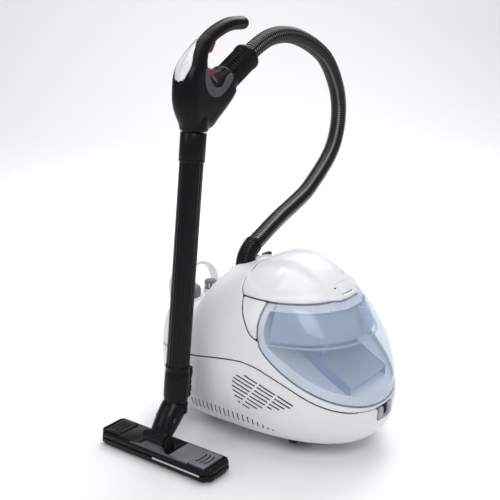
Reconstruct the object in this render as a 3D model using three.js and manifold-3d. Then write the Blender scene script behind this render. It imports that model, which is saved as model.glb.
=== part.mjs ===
// Canister steam-and-vacuum floor cleaner with a water-filter tank, hose, wand and floor head.
// Millimetres, +Z up. The front of the canister faces -Y and the wand stands on its -X side.
import * as THREE from 'three';
import { mergeVertices } from 'three/addons/utils/BufferGeometryUtils.js';
import Module from 'manifold-3d';

const wasm = await Module();
wasm.setup();

// ---------- where the assembly stands in the shared frame ----------
const OX = 61.5;
const OY = 5.6;

// ---------- canister body ----------
const BODY_HALF_W = 160;
const BODY_FRONT = 245;
const BODY_REAR = 225;
const WIDEST_Y = 15;
const WIDEST_Z = 120;
const CREST_Z = 364;
const DECK_Z = 246;
const BELLY_Z = 14;
const FLOOR_Z = 17;
const RIDGE_H = 9;
const WALL = 4;
const SEAM = 0.8;
const GAP = 0.4;
const HOOD_EDGE_Z = 296;
const PORT_Z = 262;
const RING_H = 31;
const HINGE_Y = 17;

// ---------- underside ----------
const CASTOR_X = 56;
const CASTOR_Y = 92;
const WHEEL_R = 13;
const WHEEL_W = 12;
const TRAIL = 9;
const STEM_R = 5;
const WELL_CLEAR = 5;
const WELL_R = TRAIL + WHEEL_R + WELL_CLEAR;
const CROWN_H = 12;
const PLATE_Z = 2 * WHEEL_R + CROWN_H;
const PLATE_T = 6;
const INNER_Z = PLATE_Z + PLATE_T + GAP;

// ---------- inside ----------
const BOILER_R = 48;
const BOILER_LEN = 186;
const BOILER_Y = 132;
const NECK_X = -66;
const NECK_Y = 162;
const NECK_R = 19;
const KNOB_X = -10;
const KNOB_Y = 152;
const NECK_BORE_R = 15;
const MOTOR_R = 58;
const MOTOR_H = 104;
const FAN_R = 64;
const FAN_H = 28;

// ---------- hose and its ends ----------
const HOSE_R = 16;
const SOCKET_X = -12;
const SOCKET_Y = 66;
const ELBOW_WALL = 4;
const ELBOW_R = HOSE_R + ELBOW_WALL;
const ELBOW_RISE = 47;
const ELBOW_REACH = 32;
const ELBOW_TILT = 68;

// ---------- wand ----------
const WAND_Y = 75;
const WAND_LEAN = 7.5;
const WAND_STANDOFF = 50;
const WAND_FOOT_X = -(BODY_HALF_W + WAND_STANDOFF);
const WAND_FOOT_Z = 100;
const TUBE_R = 21.5;
const TUBE_WALL = 2.2;
const CONNECTOR_LEN = 70;
const TUBE_LEN = 372;
const COLLAR_LEN = 52;
const COLLAR_WALL = 2;
const COLLAR_R = TUBE_R + COLLAR_WALL;
const HANDLE_T = 54;
const CUFF_LEN = 68;
const CUFF_WALL = 9;
const CUFF_R = HOSE_R + CUFF_WALL;
const CUFF_ANGLE = 28;

// ---------- floor head ----------
const HEAD_SET_BACK = 37;
const HEAD_X = WAND_FOOT_X - HEAD_SET_BACK;
const HEAD_Y = 76;
const HEAD_W = 68;
const HEAD_L = 266;
const HEAD_TOP = 30;
const HEAD_BASE = 8;
const SOLE_T = 3;
const PIVOT_BACK = 13;
const PIVOT_X = HEAD_X - PIVOT_BACK;
const PIVOT_RISE = 15;
const PIVOT_Z = HEAD_TOP + PIVOT_RISE;
const KNUCKLE_R = 13;
const KNUCKLE_HALF = 22;
const EAR_T = 7;
const PIN_R = 4.5;

// ---------- colours ----------
const WHITE = 0xe9ebee;
const BLACK = 0x17181a;
const GREY = 0x74787d;
const RED = 0xa3141c;
const CLEAR = 0xb9c9e4;
const BLUE = 0x5f7fb8;
const STEEL = 0xb4b8bc;

const root = new THREE.Group();
root.name = 'wet_dry_floor_cleaner';

// ================= helpers =================
const rad = (d) => d * Math.PI / 180;

function solid(geometry) {
  const g = geometry.clone();
  g.deleteAttribute('normal');
  g.deleteAttribute('uv');
  const m = mergeVertices(g, 1e-4);
  return new wasm.Manifold(new wasm.Mesh({
    numProp: 3,
    vertProperties: new Float32Array(m.attributes.position.array),
    triVerts: new Uint32Array(m.index.array),
  }));
}

function toGeometry(manifold) {
  const mesh = manifold.getMesh();
  const g = new THREE.BufferGeometry();
  g.setAttribute('position', new THREE.BufferAttribute(new Float32Array(mesh.vertProperties), 3));
  g.setIndex(new THREE.BufferAttribute(new Uint32Array(mesh.triVerts), 1));
  const flat = g.toNonIndexed();
  flat.computeVertexNormals();
  return flat;
}

const join = (...list) => list.reduce((a, b) => a.add(b));
const cut = (a, ...list) => list.reduce((s, b) => s.subtract(b), a);
const common = (a, b) => a.intersect(b);

function add(name, shape, color, extra = {}) {
  const g = shape.isBufferGeometry ? shape : toGeometry(shape);
  g.translate(OX, OY, 0);
  const material = new THREE.MeshStandardMaterial({ color, roughness: 0.45, ...extra });
  const mesh = new THREE.Mesh(g, material);
  mesh.name = name;
  root.add(mesh);
}

function block(x0, x1, y0, y1, z0, z1) {
  const g = new THREE.BoxGeometry(x1 - x0, y1 - y0, z1 - z0);
  g.translate((x0 + x1) / 2, (y0 + y1) / 2, (z0 + z1) / 2);
  return solid(g);
}

// round bar of radius r from point a to point b
function bar(a, b, r, seg = 20, r2 = r) {
  const from = new THREE.Vector3(...a);
  const dir = new THREE.Vector3(...b).sub(from);
  const g = new THREE.CylinderGeometry(r2, r, dir.length(), seg);
  g.translate(0, dir.length() / 2, 0);
  const q = new THREE.Quaternion().setFromUnitVectors(new THREE.Vector3(0, 1, 0), dir.clone().normalize());
  g.applyQuaternion(q);
  g.translate(...a);
  return solid(g);
}

// profile [[radius, height]...] turned about an axis that starts at point a and runs along dir
function turned(profile, a, dir, seg = 24) {
  const g = new THREE.LatheGeometry(profile.map(([r, h]) => new THREE.Vector2(r, h)), seg);
  const q = new THREE.Quaternion().setFromUnitVectors(new THREE.Vector3(0, 1, 0), dir.clone().normalize());
  g.applyQuaternion(q);
  g.translate(...a);
  const s = solid(g);
  return s.volume() < 0 ? solid(flip(g)) : s;
}

function flip(geometry) {
  const g = geometry.clone();
  const i = g.index.array;
  for (let k = 0; k < i.length; k += 3) {
    const t = i[k];
    i[k] = i[k + 1];
    i[k + 1] = t;
  }
  return g;
}

// outline in the YZ plane pushed along X, centred on x = 0
function sideSlab(points, half = 300) {
  const shape = new THREE.Shape(points.map(([y, z]) => new THREE.Vector2(y, z)));
  const g = new THREE.ExtrudeGeometry(shape, { depth: 2 * half, bevelEnabled: false });
  g.applyMatrix4(new THREE.Matrix4().set(0, 0, 1, -half, 1, 0, 0, 0, 0, 1, 0, 0, 0, 0, 0, 1));
  return solid(g);
}

// outline in the XZ plane pushed along Y about the wand plane
function frontSlab(points, thick, bevel = 0, steps = 2) {
  const shape = new THREE.Shape(points.map(([x, z]) => new THREE.Vector2(x, z)));
  const g = new THREE.ExtrudeGeometry(shape, {
    depth: thick - 2 * bevel,
    bevelEnabled: bevel > 0,
    bevelThickness: bevel,
    bevelSize: bevel,
    bevelOffset: -bevel,
    bevelSegments: steps,
  });
  g.rotateX(Math.PI / 2);
  g.translate(0, WAND_Y + thick / 2 - bevel, 0);
  return solid(g);
}

// thin blade that follows a polyline in the YZ plane and crosses the whole body
function blade(points, width = SEAM) {
  const left = [];
  const right = [];
  points.forEach((p, i) => {
    const a = points[Math.max(i - 1, 0)];
    const b = points[Math.min(i + 1, points.length - 1)];
    const d = Math.hypot(b[0] - a[0], b[1] - a[1]);
    const n = [-(b[1] - a[1]) / d * width / 2, (b[0] - a[0]) / d * width / 2];
    left.push([p[0] + n[0], p[1] + n[1]]);
    right.unshift([p[0] - n[0], p[1] - n[1]]);
  });
  return sideSlab([...left, ...right]);
}

// solid swept along a curve with a section given by angle
function sweep(curve, steps, sides, at) {
  const c = new THREE.Shape();
  for (let i = 0; i < sides; i += 1) {
    const p = at(i * 2 * Math.PI / sides);
    if (i === 0) c.moveTo(...p);
    else c.lineTo(...p);
  }
  return solid(new THREE.ExtrudeGeometry(c, { steps, extrudePath: curve, bevelEnabled: false }));
}

function smooth(points, n, closed = false) {
  const v = points.map(([a, b]) => new THREE.Vector3(a, b, 0));
  const curve = new THREE.CatmullRomCurve3(v, closed, 'centripetal');
  const out = curve.getPoints(n).map((p) => [p.x, p.y]);
  return closed ? out.slice(0, -1) : out;
}

// the piece of a cut-up solid whose box centre is nearest to a point
function piece(manifold, x, y, z) {
  const far = (m) => {
    const { min, max } = m.boundingBox();
    return Math.hypot((min[0] + max[0]) / 2 - x, (min[1] + max[1]) / 2 - y, (min[2] + max[2]) / 2 - z);
  };
  return manifold.decompose().filter((m) => m.volume() > 60).sort((a, b) => far(a) - far(b))[0];
}

// ================= body surface =================
const clamp01 = (v) => Math.min(Math.max(v, 0), 1);
const bulge = (s, p) => (1 - clamp01(s) ** p) ** (1 / p);

function ease(a, b, x) {
  const t = clamp01((x - a) / (b - a));
  return t * t * (3 - 2 * t);
}

// negative inside the canister, positive outside
function field(x, y, z) {
  const front = y < WIDEST_Y;
  const s = front ? (WIDEST_Y - y) / (WIDEST_Y + BODY_FRONT) : (y - WIDEST_Y) / (BODY_REAR - WIDEST_Y);
  if (s >= 1) return 0.5;
  const halfWidth = BODY_HALF_W * (front ? bulge(s, 2.25) : bulge(s, 2.7));
  const drop = 0.36 * ease(-90, 75, y) + 0.64 * ease(60, 122, y);
  const top = CREST_Z + (DECK_Z - CREST_Z) * drop;
  const ridgeHalf = 36 + 14 * ease(-150, 40, y);
  const flank = 1 - ease(ridgeHalf - 9, ridgeHalf + 9, Math.abs(x));
  const ridge = RIDGE_H * flank * (1 - ease(-30, 45, y)) * ease(-225, -150, y);
  const up = (top - WIDEST_Z) * (front ? bulge(s, 1.9) : bulge(s, 5)) + ridge;
  const down = (WIDEST_Z - BELLY_Z) * (front ? bulge(s, 4) : bulge(s, 7));
  const above = z > WIDEST_Z;
  const n = above ? 2.35 + 1.6 * ease(20, 150, y) : 2.6;
  const h = above ? (z - WIDEST_Z) / (up + 1e-6) : (WIDEST_Z - z) / (down + 1e-6);
  return (Math.abs(x / (halfWidth + 1e-6)) ** n + h ** n) ** (1 / n) - 1;
}

function onSurface(dir, inset) {
  let lo = 0;
  let hi = 420;
  for (let k = 0; k < 32; k += 1) {
    const mid = (lo + hi) / 2;
    if (field(dir.x * mid, dir.y * mid, WIDEST_Z + dir.z * mid) < 0) lo = mid;
    else hi = mid;
  }
  const p = dir.clone().multiplyScalar(lo);
  p.z += WIDEST_Z;
  const e = 2;
  const grad = new THREE.Vector3(
    field(p.x + e, p.y, p.z) - field(p.x - e, p.y, p.z),
    field(p.x, p.y + e, p.z) - field(p.x, p.y - e, p.z),
    field(p.x, p.y, p.z + e) - field(p.x, p.y, p.z - e),
  );
  const out = grad.normalize();
  const radial = Math.max(out.dot(dir), 0.55);
  return p.addScaledVector(dir, -inset / radial);
}

// closed skin of the canister moved inwards by inset, n patches along each side of a cube
function skin(inset, n) {
  const pos = [];
  const idx = [];
  const steps = Array.from({ length: n + 1 }, (_, i) => Math.tan((i / n - 0.5) * Math.PI / 2));
  const faces = [[0, 1], [0, -1], [1, 1], [1, -1], [2, 1], [2, -1]];
  for (const [axis, sign] of faces) {
    const start = pos.length / 3;
    for (const u of steps) {
      for (const v of steps) {
        const c = [0, 0, 0];
        c[axis] = sign;
        c[(axis + 1) % 3] = u * sign;
        c[(axis + 2) % 3] = v;
        pos.push(...onSurface(new THREE.Vector3(...c).normalize(), inset).toArray());
      }
    }
    for (let i = 0; i < n; i += 1) {
      for (let j = 0; j < n; j += 1) {
        const a = start + i * (n + 1) + j;
        const b = a + n + 1;
        idx.push(a, b, b + 1, a, b + 1, a + 1);
      }
    }
  }
  const g = new THREE.BufferGeometry();
  g.setAttribute('position', new THREE.BufferAttribute(new Float32Array(pos), 3));
  g.setIndex(idx);
  return solid(g);
}

// ================= seam lines in side view (y, z) =================
const HOOD_REAR = [[HINGE_Y + 3, 420], [HINGE_Y - 1, 346], [13, 318], [5, 305], [-6, HOOD_EDGE_Z]];
const HOOD_LOW = [[-6, HOOD_EDGE_Z], [-60, HOOD_EDGE_Z], [-300, HOOD_EDGE_Z]];
const WINDOW_EDGE = [[-62, HOOD_EDGE_Z + 6], [-56, 278], [-55, 252], [-64, 222], [-82, 203], [-112, 180],
  [-146, 158], [-190, 135], [-224, 121], [-262, 107]];
const CHEEK_EDGE = [[-6, HOOD_EDGE_Z], [-14, 277], [-28, 256], [-44, 238], [-68, 227]];
const CREASE = [[260, 146], [160, 162], [79, 172], [1, 184], [-32, 187], [-64, 182], [-102, 167], [-130, 153],
  [-171, 130], [-213, 113], [-270, 103]];

const outer = skin(0, 7);
const inner = skin(WALL, 7);
const aboveFloor = block(-300, 300, -300, 300, FLOOR_Z, 500);
const aboveInnerFloor = block(-300, 300, -300, 300, FLOOR_Z + WALL, 500);
const shell = cut(common(outer, aboveFloor), common(inner, aboveInnerFloor));

// tank-side region: in front of the window edge and below the hood edge
const TANK_REGION = [...WINDOW_EDGE, [-300, 107], [-300, HOOD_EDGE_Z + 6]];

function shellPieces() {
  const seams = [HOOD_REAR, HOOD_LOW, WINDOW_EDGE, CHEEK_EDGE, CREASE].map((s) => blade(s));
  return cut(shell, ...seams);
}

// a panel of the body skin standing proud by rise and deep by depth inside a box
const panel = (rise, depth, box) => common(cut(skin(-rise, 7), skin(depth, 7)), box);

// ================= canister =================
const castorSpots = [];
for (const sx of [-1, 1]) {
  for (const sy of [-1, 1]) castorSpots.push([sx * CASTOR_X, sy * CASTOR_Y, sx, sy]);
}

const GLAND = { x: 60, y: 194, z: 70, r: 10, bore: 4 };
const LATCH = { half: 22, z0: 84, z1: 106.5 };
const GRILLE = { y0: -118, y1: -14, z0: 108, cols: 3, rows: 6, pitch: 9.5, slot: 4, tilt: 22 };

// one see-through louvre slot on the left flank, running down towards the front
function louvre(y0, y1, z) {
  const drop = (y1 - y0) * Math.tan(rad(GRILLE.tilt));
  const half = GRILLE.slot / 2;
  const pts = [[y0, z - half - drop], [y1, z - half], [y1, z + half], [y0, z + half - drop]];
  return common(sideSlab(pts), block(-300, -100, -300, 300, 0, 400));
}

function grilleCuts() {
  const cuts = [];
  const step = (GRILLE.y1 - GRILLE.y0) / GRILLE.cols;
  for (let c = 0; c < GRILLE.cols; c += 1) {
    const y1 = GRILLE.y1 - c * step;
    const y0 = y1 - step + 5;
    const lead = (GRILLE.y1 - y1) * Math.tan(rad(GRILLE.tilt));
    const rows = GRILLE.rows - 2 * c;
    const high = GRILLE.z0 + 9 * c + 52 - lead * 0.8;
    for (let r = 0; r < rows; r += 1) cuts.push(louvre(y0, y1, high - r * GRILLE.pitch));
  }
  return cuts;
}

function lowerShell(parts) {
  let s = piece(parts, 0, -10, 100);
  for (const [x, y] of castorSpots) s = s.subtract(bar([x, y, 0], [x, y, PLATE_Z + 22], WELL_R, 14));
  s = cut(s, ...grilleCuts());
  s = s.subtract(bar([GLAND.x, 150, GLAND.z], [GLAND.x, 260, GLAND.z], GLAND.r + 0.6, 12));
  const { half, z0, z1 } = LATCH;
  return s.subtract(block(-half - 1, half + 1, -300, -200, z0 - 4, z1 + 0.5));
}

function upperShell(parts) {
  const panelShape = piece(parts, 0, 0, 210);
  const bosses = [
    bar([NECK_X, NECK_Y, capSeat() - 16], [NECK_X, NECK_Y, capSeat()], 25, 16),
    bar([KNOB_X, KNOB_Y, knobSeat() - 12], [KNOB_X, KNOB_Y, knobSeat()], 14, 16),
  ];
  const holes = [
    bar([SOCKET_X, SOCKET_Y, ringZ() - 40], [SOCKET_X, SOCKET_Y, ringZ() + 90], ELBOW_R + 9.6, 20),
    bar([NECK_X, NECK_Y, DECK_Z - 46], [NECK_X, NECK_Y, DECK_Z + 54], NECK_R + 0.6, 16),
    bar([KNOB_X, KNOB_Y, DECK_Z - 46], [KNOB_X, KNOB_Y, DECK_Z + 54], 4.5, 10),
    block(33, 51, 157.5, 172.5, DECK_Z - 46, DECK_Z + 54),
  ];
  return cut(join(panelShape, ...bosses), ...holes);
}

function tank() {
  const solidTank = common(skin(0, 7), sideSlab(TANK_REGION));
  const lid = block(-300, 300, -300, 300, HOOD_EDGE_Z - SEAM / 2, 500);
  const rear = blade(WINDOW_EDGE, SEAM);
  const vessel = cut(solidTank, lid, rear);
  const hollowRegion = [...WINDOW_EDGE.map(([y, z]) => [y - 3.4, z + 3.4]), [-300, 110], [-300, 330]];
  const hollow = common(skin(3.4, 7), sideSlab(hollowRegion));
  const port = bar([0, -30, PORT_Z], [0, -75, PORT_Z], 14.5, 20);
  return piece(cut(vessel, hollow, port), 0, -150, 200);
}

function filterBasket() {
  const zone = sideSlab([[-75, 291], [-75, 226], [-240, 226], [-240, 291]]);
  const bowl = common(skin(10, 7), zone);
  const scoop = common(skin(13, 7), sideSlab([[-78, 400], [-78, 229], [-240, 229], [-240, 400]]));
  const port = bar([0, -50, PORT_Z], [0, -80, PORT_Z], 14.5, 20);
  return cut(bowl, scoop, port);
}

function filterRim() {
  const zone = sideSlab([[-75, 225.4], [-75, 220], [-240, 220], [-240, 225.4]]);
  const ring = common(skin(7.5, 7), zone);
  return cut(ring, common(skin(14, 7), sideSlab([[-82, 240], [-82, 210], [-240, 210], [-240, 240]])));
}

// curved chute that throws the incoming dirt into the water
function baffle() {
  const line = smooth([[-118, 212], [-142, 202], [-172, 180], [-204, 144]], 7);
  return common(blade(line, 3), block(-62, 62, -300, 0, 0, 400));
}

function hood(parts) {
  const s = piece(parts, 0, -70, 325);
  return s.subtract(block(-20.5, 20.5, -172, -146.5, 280, 330));
}

const hoodTab = () => piece(panel(1.5, 7, block(-20, 20, -171.5, -147, 300, 330)), 0, -158, 305);

function chassis() {
  const plate = common(skin(WALL + 9, 5), block(-300, 300, -300, 300, PLATE_Z, PLATE_Z + PLATE_T));
  const holes = castorSpots.map(([x, y]) => bar([x, y, 0], [x, y, 100], STEM_R + GAP, 10));
  return cut(plate, ...holes);
}

function castor(name, x, y) {
  const cx = x;
  const cy = y + TRAIL;
  const top = PLATE_Z - 1;
  const stem = bar([x, y, top - 3], [x, y, PLATE_Z + PLATE_T + 4], STEM_R, 10);
  const disc = bar([x, y, top - 4], [x, y, top - 0.6], 15, 14);
  const inside = WHEEL_W / 2 + GAP;
  const cheeks = [-1, 1].map((s) => {
    const a = Math.min(s * inside, s * (inside + 3));
    return block(cx + a, cx + a + 3, y - 4, cy + 6, WHEEL_R - 5, top - 1);
  });
  const bridge = block(cx - inside - 1, cx + inside + 1, y - 6, cy + 6, 2 * WHEEL_R + 1.5, top - 2);
  const pin = bar([cx - inside - 2, cy, WHEEL_R], [cx + inside + 2, cy, WHEEL_R], 2.6, 10);
  add(`castor_fork_${name}`, join(stem, disc, ...cheeks, bridge, pin), BLACK);
  const tyre = bar([cx - WHEEL_W / 2, cy, WHEEL_R], [cx + WHEEL_W / 2, cy, WHEEL_R], WHEEL_R, 18);
  add(`castor_wheel_${name}`, tyre.subtract(bar([cx - 20, cy, WHEEL_R], [cx + 20, cy, WHEEL_R], 3, 10)), GREY);
}

function boiler() {
  const z = INNER_Z + 8 + BOILER_R;
  const half = BOILER_LEN / 2;
  const drum = turned(
    [[0, 0], [30, 2], [BOILER_R - 4, 10], [BOILER_R, 20], [BOILER_R, BOILER_LEN - 20],
      [BOILER_R - 4, BOILER_LEN - 10], [30, BOILER_LEN - 2], [0, BOILER_LEN]],
    [-half, BOILER_Y, z], new THREE.Vector3(1, 0, 0), 16,
  );
  const low = z - BOILER_R - 8;
  const feet = [-1, 1].map((s) => block(s * 55 - 7, s * 55 + 7, BOILER_Y - 24, BOILER_Y + 24, low, z - 30));
  const neck = bar([NECK_X, NECK_Y, z], [NECK_X, NECK_Y, capSeat() - 1], NECK_R, 16);
  const bore = bar([NECK_X, NECK_Y, z + 20], [NECK_X, NECK_Y, DECK_Z + 9], NECK_BORE_R, 16);
  const inside = bar([16 - half, BOILER_Y, z], [half - 16, BOILER_Y, z], BOILER_R - 4, 14);
  return cut(join(drum, ...feet, neck), inside, bore);
}

function suctionMotor() {
  const z = INNER_Z;
  const profile = [[0, 0], [MOTOR_R, 0], [MOTOR_R, MOTOR_H * 0.45], [MOTOR_R - 6, MOTOR_H * 0.5],
    [MOTOR_R - 6, MOTOR_H], [0, MOTOR_H]];
  return turned(profile, [0, 5, z], new THREE.Vector3(0, 0, 1), 18);
}

function fanHousing() {
  const z = INNER_Z + MOTOR_H + GAP;
  const drum = bar([0, 5, z], [0, 5, z + FAN_H], FAN_R, 18);
  const inlet = bar([0, 5, z + FAN_H - 2], [0, 5, z + FAN_H + 12], 22, 18);
  return join(drum, inlet).subtract(bar([0, 5, z + 6], [0, 5, z + FAN_H + 40], 16, 18));
}

function inletDuct() {
  const z = ringZ() - 1;
  const pts = [[SOCKET_X, SOCKET_Y, z], [SOCKET_X, SOCKET_Y - 1, z - 11], [-7, 40, PORT_Z + 2], [0, 0, PORT_Z],
    [0, -50, PORT_Z]];
  const curve = new THREE.CatmullRomCurve3(pts.map((p) => new THREE.Vector3(...p)), false, 'centripetal');
  const round = (r) => sweep(curve, 8, 10, (a) => [r * Math.cos(a), r * Math.sin(a)]);
  return round(18).subtract(round(14.5));
}

function socketRing() {
  const r = ELBOW_R;
  const profile = [[r + 0.6, 0], [r + 9, 0], [r + 9, RING_H - 2], [r + 7, RING_H], [r + 2, RING_H],
    [r + 0.6, RING_H - 2], [r + 0.6, 0]];
  return turned(profile, [SOCKET_X, SOCKET_Y, ringZ()], new THREE.Vector3(0, 0, 1), 20);
}

function elbowEnd() {
  const t = rad(ELBOW_TILT);
  return [SOCKET_X + ELBOW_REACH * Math.sin(t), SOCKET_Y, ringZ() + ELBOW_RISE + ELBOW_REACH * Math.cos(t)];
}

function hoseElbow() {
  const base = [SOCKET_X, SOCKET_Y, ringZ() + 3.5];
  const knee = [SOCKET_X, SOCKET_Y, ringZ() + ELBOW_RISE];
  const stub = bar(base, knee, ELBOW_R, 20);
  const ball = new THREE.SphereGeometry(ELBOW_R + 0.1, 14, 8);
  ball.translate(...knee);
  return join(stub, solid(ball), bar(knee, elbowEnd(), ELBOW_R, 16));
}

// foot of the inlet ring, whose rim stands level with the skin around it
const ringZ = () => Math.round(topAt(SOCKET_X, SOCKET_Y) - RING_H);

function waterPump() {
  const z = INNER_Z + 15.6;
  return join(block(76, 112, 28, 66, INNER_Z, INNER_Z + 29.6), bar([94, 20, z], [94, 78, z], 13, 14));
}

// strain relief that the mains lead leaves through
function leadGland() {
  const { r, bore } = GLAND;
  const profile = [[bore, 0], [r, 0], [r, 30], [r - 3, 40], [bore, 40], [bore, 0]];
  return turned(profile, [GLAND.x, GLAND.y, GLAND.z], new THREE.Vector3(0, 1, 0), 12);
}

// top of the boss under a round fitting, just above the highest skin beneath it
const seat = (x, y, r) => Math.max(topAt(x, y - r), topAt(x - r, y), topAt(x + r, y)) + 3;
const capSeat = () => seat(NECK_X, NECK_Y, 24);
const knobSeat = () => seat(KNOB_X, KNOB_Y, 13);

function steamKnob() {
  const z = knobSeat() + 0.5;
  const profile = [[0, 0], [12.5, 0], [12.5, 14], [11, 17], [0, 17]];
  const body = turned(profile, [KNOB_X, KNOB_Y, z], new THREE.Vector3(0, 0, 1), 18);
  const grooves = [];
  for (let i = 0; i < 6; i += 1) {
    const a = i * Math.PI / 3;
    const gx = KNOB_X + 13.4 * Math.cos(a);
    const gy = KNOB_Y + 13.4 * Math.sin(a);
    grooves.push(bar([gx, gy, z - 1], [gx, gy, z + 20], 2, 8));
  }
  return join(cut(body, ...grooves), bar([KNOB_X, KNOB_Y, z - 18], [KNOB_X, KNOB_Y, z + 2], 4, 10));
}

function boilerCap() {
  const z = capSeat() + 0.5;
  const profile = [[0, 0], [24, 0], [24, 15], [20, 20], [0, 21]];
  const body = turned(profile, [NECK_X, NECK_Y, z], new THREE.Vector3(0, 0, 1), 16);
  return join(body, bar([NECK_X, NECK_Y, z - 18], [NECK_X, NECK_Y, z + 2], NECK_BORE_R - 0.5, 16));
}

// height of the body above a point of the rear deck
function topAt(x, y) {
  let lo = WIDEST_Z;
  let hi = 400;
  for (let k = 0; k < 30; k += 1) {
    const mid = (lo + hi) / 2;
    if (field(x, y, mid) < 0) lo = mid;
    else hi = mid;
  }
  return lo;
}

const BAIL = { half: 66, y: 200, rise: 50, lean: 12, w: 20, t: 9 };

function carryHandle() {
  const foot = topAt(BAIL.half - 5, BAIL.y - BAIL.w / 2) + 0.8;
  const pts = [[-BAIL.half, 0], [-BAIL.half * 0.86, 0.62], [-BAIL.half * 0.45, 0.95], [0, 1],
    [BAIL.half * 0.45, 0.95], [BAIL.half * 0.86, 0.62], [BAIL.half, 0]];
  const path = pts.map(([x, k]) => new THREE.Vector3(x, BAIL.y + BAIL.lean * k, foot + BAIL.rise * k));
  const curve = new THREE.CatmullRomCurve3(path, false, 'centripetal');
  return sweep(curve, 14, 8, (a) => [BAIL.t / 2 * Math.cos(a), BAIL.w / 2 * Math.sin(a)]);
}

function rocker() {
  const z = topAt(42, 165);
  return block(34, 50, 158.5, 171.5, z - 8, z + 2.5);
}

function latch() {
  const { half, z0, z1 } = LATCH;
  const slab = panel(3, 5, block(-half, half, -300, -200, z0, z1));
  return piece(slab.subtract(block(-10, 10, -300, -200, z0 + 11, z1 + 20)), 0, -243, z0 + 11);
}

function canister() {
  const parts = shellPieces();
  add('lower_shell', lowerShell(parts), WHITE);
  add('upper_shell', upperShell(parts), WHITE);
  add('hood_lid', hood(parts), WHITE);
  add('cheek_left', piece(parts, -128, -38, 262), WHITE);
  add('cheek_right', piece(parts, 128, -38, 262), WHITE);
  add('water_tank', tank(), CLEAR, { transparent: true, opacity: 0.5, roughness: 0.1 });
  add('filter_basket', filterBasket(), CLEAR, { transparent: true, opacity: 0.6 });
  add('filter_rim', filterRim(), GREY);
  add('baffle', baffle(), BLUE);
  add('float', bar([0, -101, 205], [0, -101, 215], 10, 16), RED);
  add('hood_tab', hoodTab(), GREY);
  add('tank_latch', latch(), GREY);
  add('chassis', chassis(), BLACK);
  for (const [x, y, sx, sy] of castorSpots) {
    castor(`${sy < 0 ? 'front' : 'rear'}_${sx < 0 ? 'left' : 'right'}`, x, y);
  }
  add('boiler', boiler(), STEEL, { metalness: 0.8 });
  add('suction_motor', suctionMotor(), GREY);
  add('fan_housing', fanHousing(), BLACK);
  add('inlet_duct', inletDuct(), BLACK);
  add('water_pump', waterPump(), STEEL);
  add('control_board', block(112, 115, 96, 172, INNER_Z + 40, INNER_Z + 106), 0x2d6b3f);
  add('outlet_filter', block(-112, -84, -44, -6, INNER_Z, INNER_Z + 60), 0xd8d2bc);
  add('lead_gland', leadGland(), BLACK);
  add('socket_ring', socketRing(), BLACK);
  add('hose_elbow', hoseElbow(), BLACK);
  add('boiler_cap', boilerCap(), GREY);
  add('steam_knob', steamKnob(), GREY);
  add('carry_handle', carryHandle(), WHITE);
  add('deck_rocker', rocker(), BLACK);
}

// ================= wand =================
const lean = new THREE.Vector3(Math.sin(rad(WAND_LEAN)), 0, Math.cos(rad(WAND_LEAN)));

// point on the wand axis, s above its foot, off to the +X side by u
function onWand(s, u = 0) {
  return [WAND_FOOT_X + lean.x * s + lean.z * u, WAND_Y, WAND_FOOT_Z + lean.z * s - lean.x * u];
}

function alongWand(solidShape) {
  return solidShape.rotate([0, WAND_LEAN, 0]).translate([WAND_FOOT_X, WAND_Y, WAND_FOOT_Z]);
}

function flutedTube(length) {
  const c = new THREE.Shape();
  const n = 32;
  for (let i = 0; i < n; i += 1) {
    const a = i * 2 * Math.PI / n;
    const r = i % 2 === 0 ? TUBE_R : TUBE_R - 1.1;
    if (i === 0) c.moveTo(r, 0);
    else c.lineTo(r * Math.cos(a), r * Math.sin(a));
  }
  return solid(new THREE.ExtrudeGeometry(c, { depth: length, bevelEnabled: false }));
}

function extensionTube() {
  const bore = TUBE_R - 1.1 - TUBE_WALL;
  const z0 = CONNECTOR_LEN + GAP;
  const tube = flutedTube(TUBE_LEN).translate([0, 0, z0]);
  const collar = bar([0, 0, z0 + TUBE_LEN - 1], [0, 0, z0 + TUBE_LEN + COLLAR_LEN], COLLAR_R, 24);
  const hole = bar([0, 0, 0], [0, 0, 700], bore, 20);
  const pocket = block(COLLAR_R - 3.5, COLLAR_R + 9, -8.4, 8.4, z0 + TUBE_LEN + 11.6, z0 + TUBE_LEN + 46.4);
  return alongWand(cut(join(tube, collar), hole, pocket));
}

function tubeLatch() {
  const z = CONNECTOR_LEN + GAP + TUBE_LEN + 12;
  return alongWand(join(
    block(COLLAR_R - 1, COLLAR_R + 3, -8, 8, z, z + 34),
    block(COLLAR_R + 1, COLLAR_R + 7, -6, 6, z + 20, z + 32),
  ));
}

function lowerConnector() {
  const profile = [[TUBE_R - 4.5, 0], [TUBE_R, 0], [TUBE_R + 1.5, 12], [TUBE_R + 1.5, 52], [TUBE_R, 66],
    [TUBE_R, CONNECTOR_LEN], [TUBE_R - 4.5, CONNECTOR_LEN], [TUBE_R - 4.5, 0]];
  return alongWand(turned(profile, [0, 0, 0], new THREE.Vector3(0, 0, 1), 18));
}

// coupling for the steam line on the +X side of the lower connector
function steamLatch() {
  const x = TUBE_R + 2;
  const slab = block(x, x + 10, -9, 9, 4, 62);
  return alongWand(join(slab, block(x, x + 14, -6, 6, 12, 26), block(x, x + 13, -7, 7, 40, 56)));
}

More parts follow.
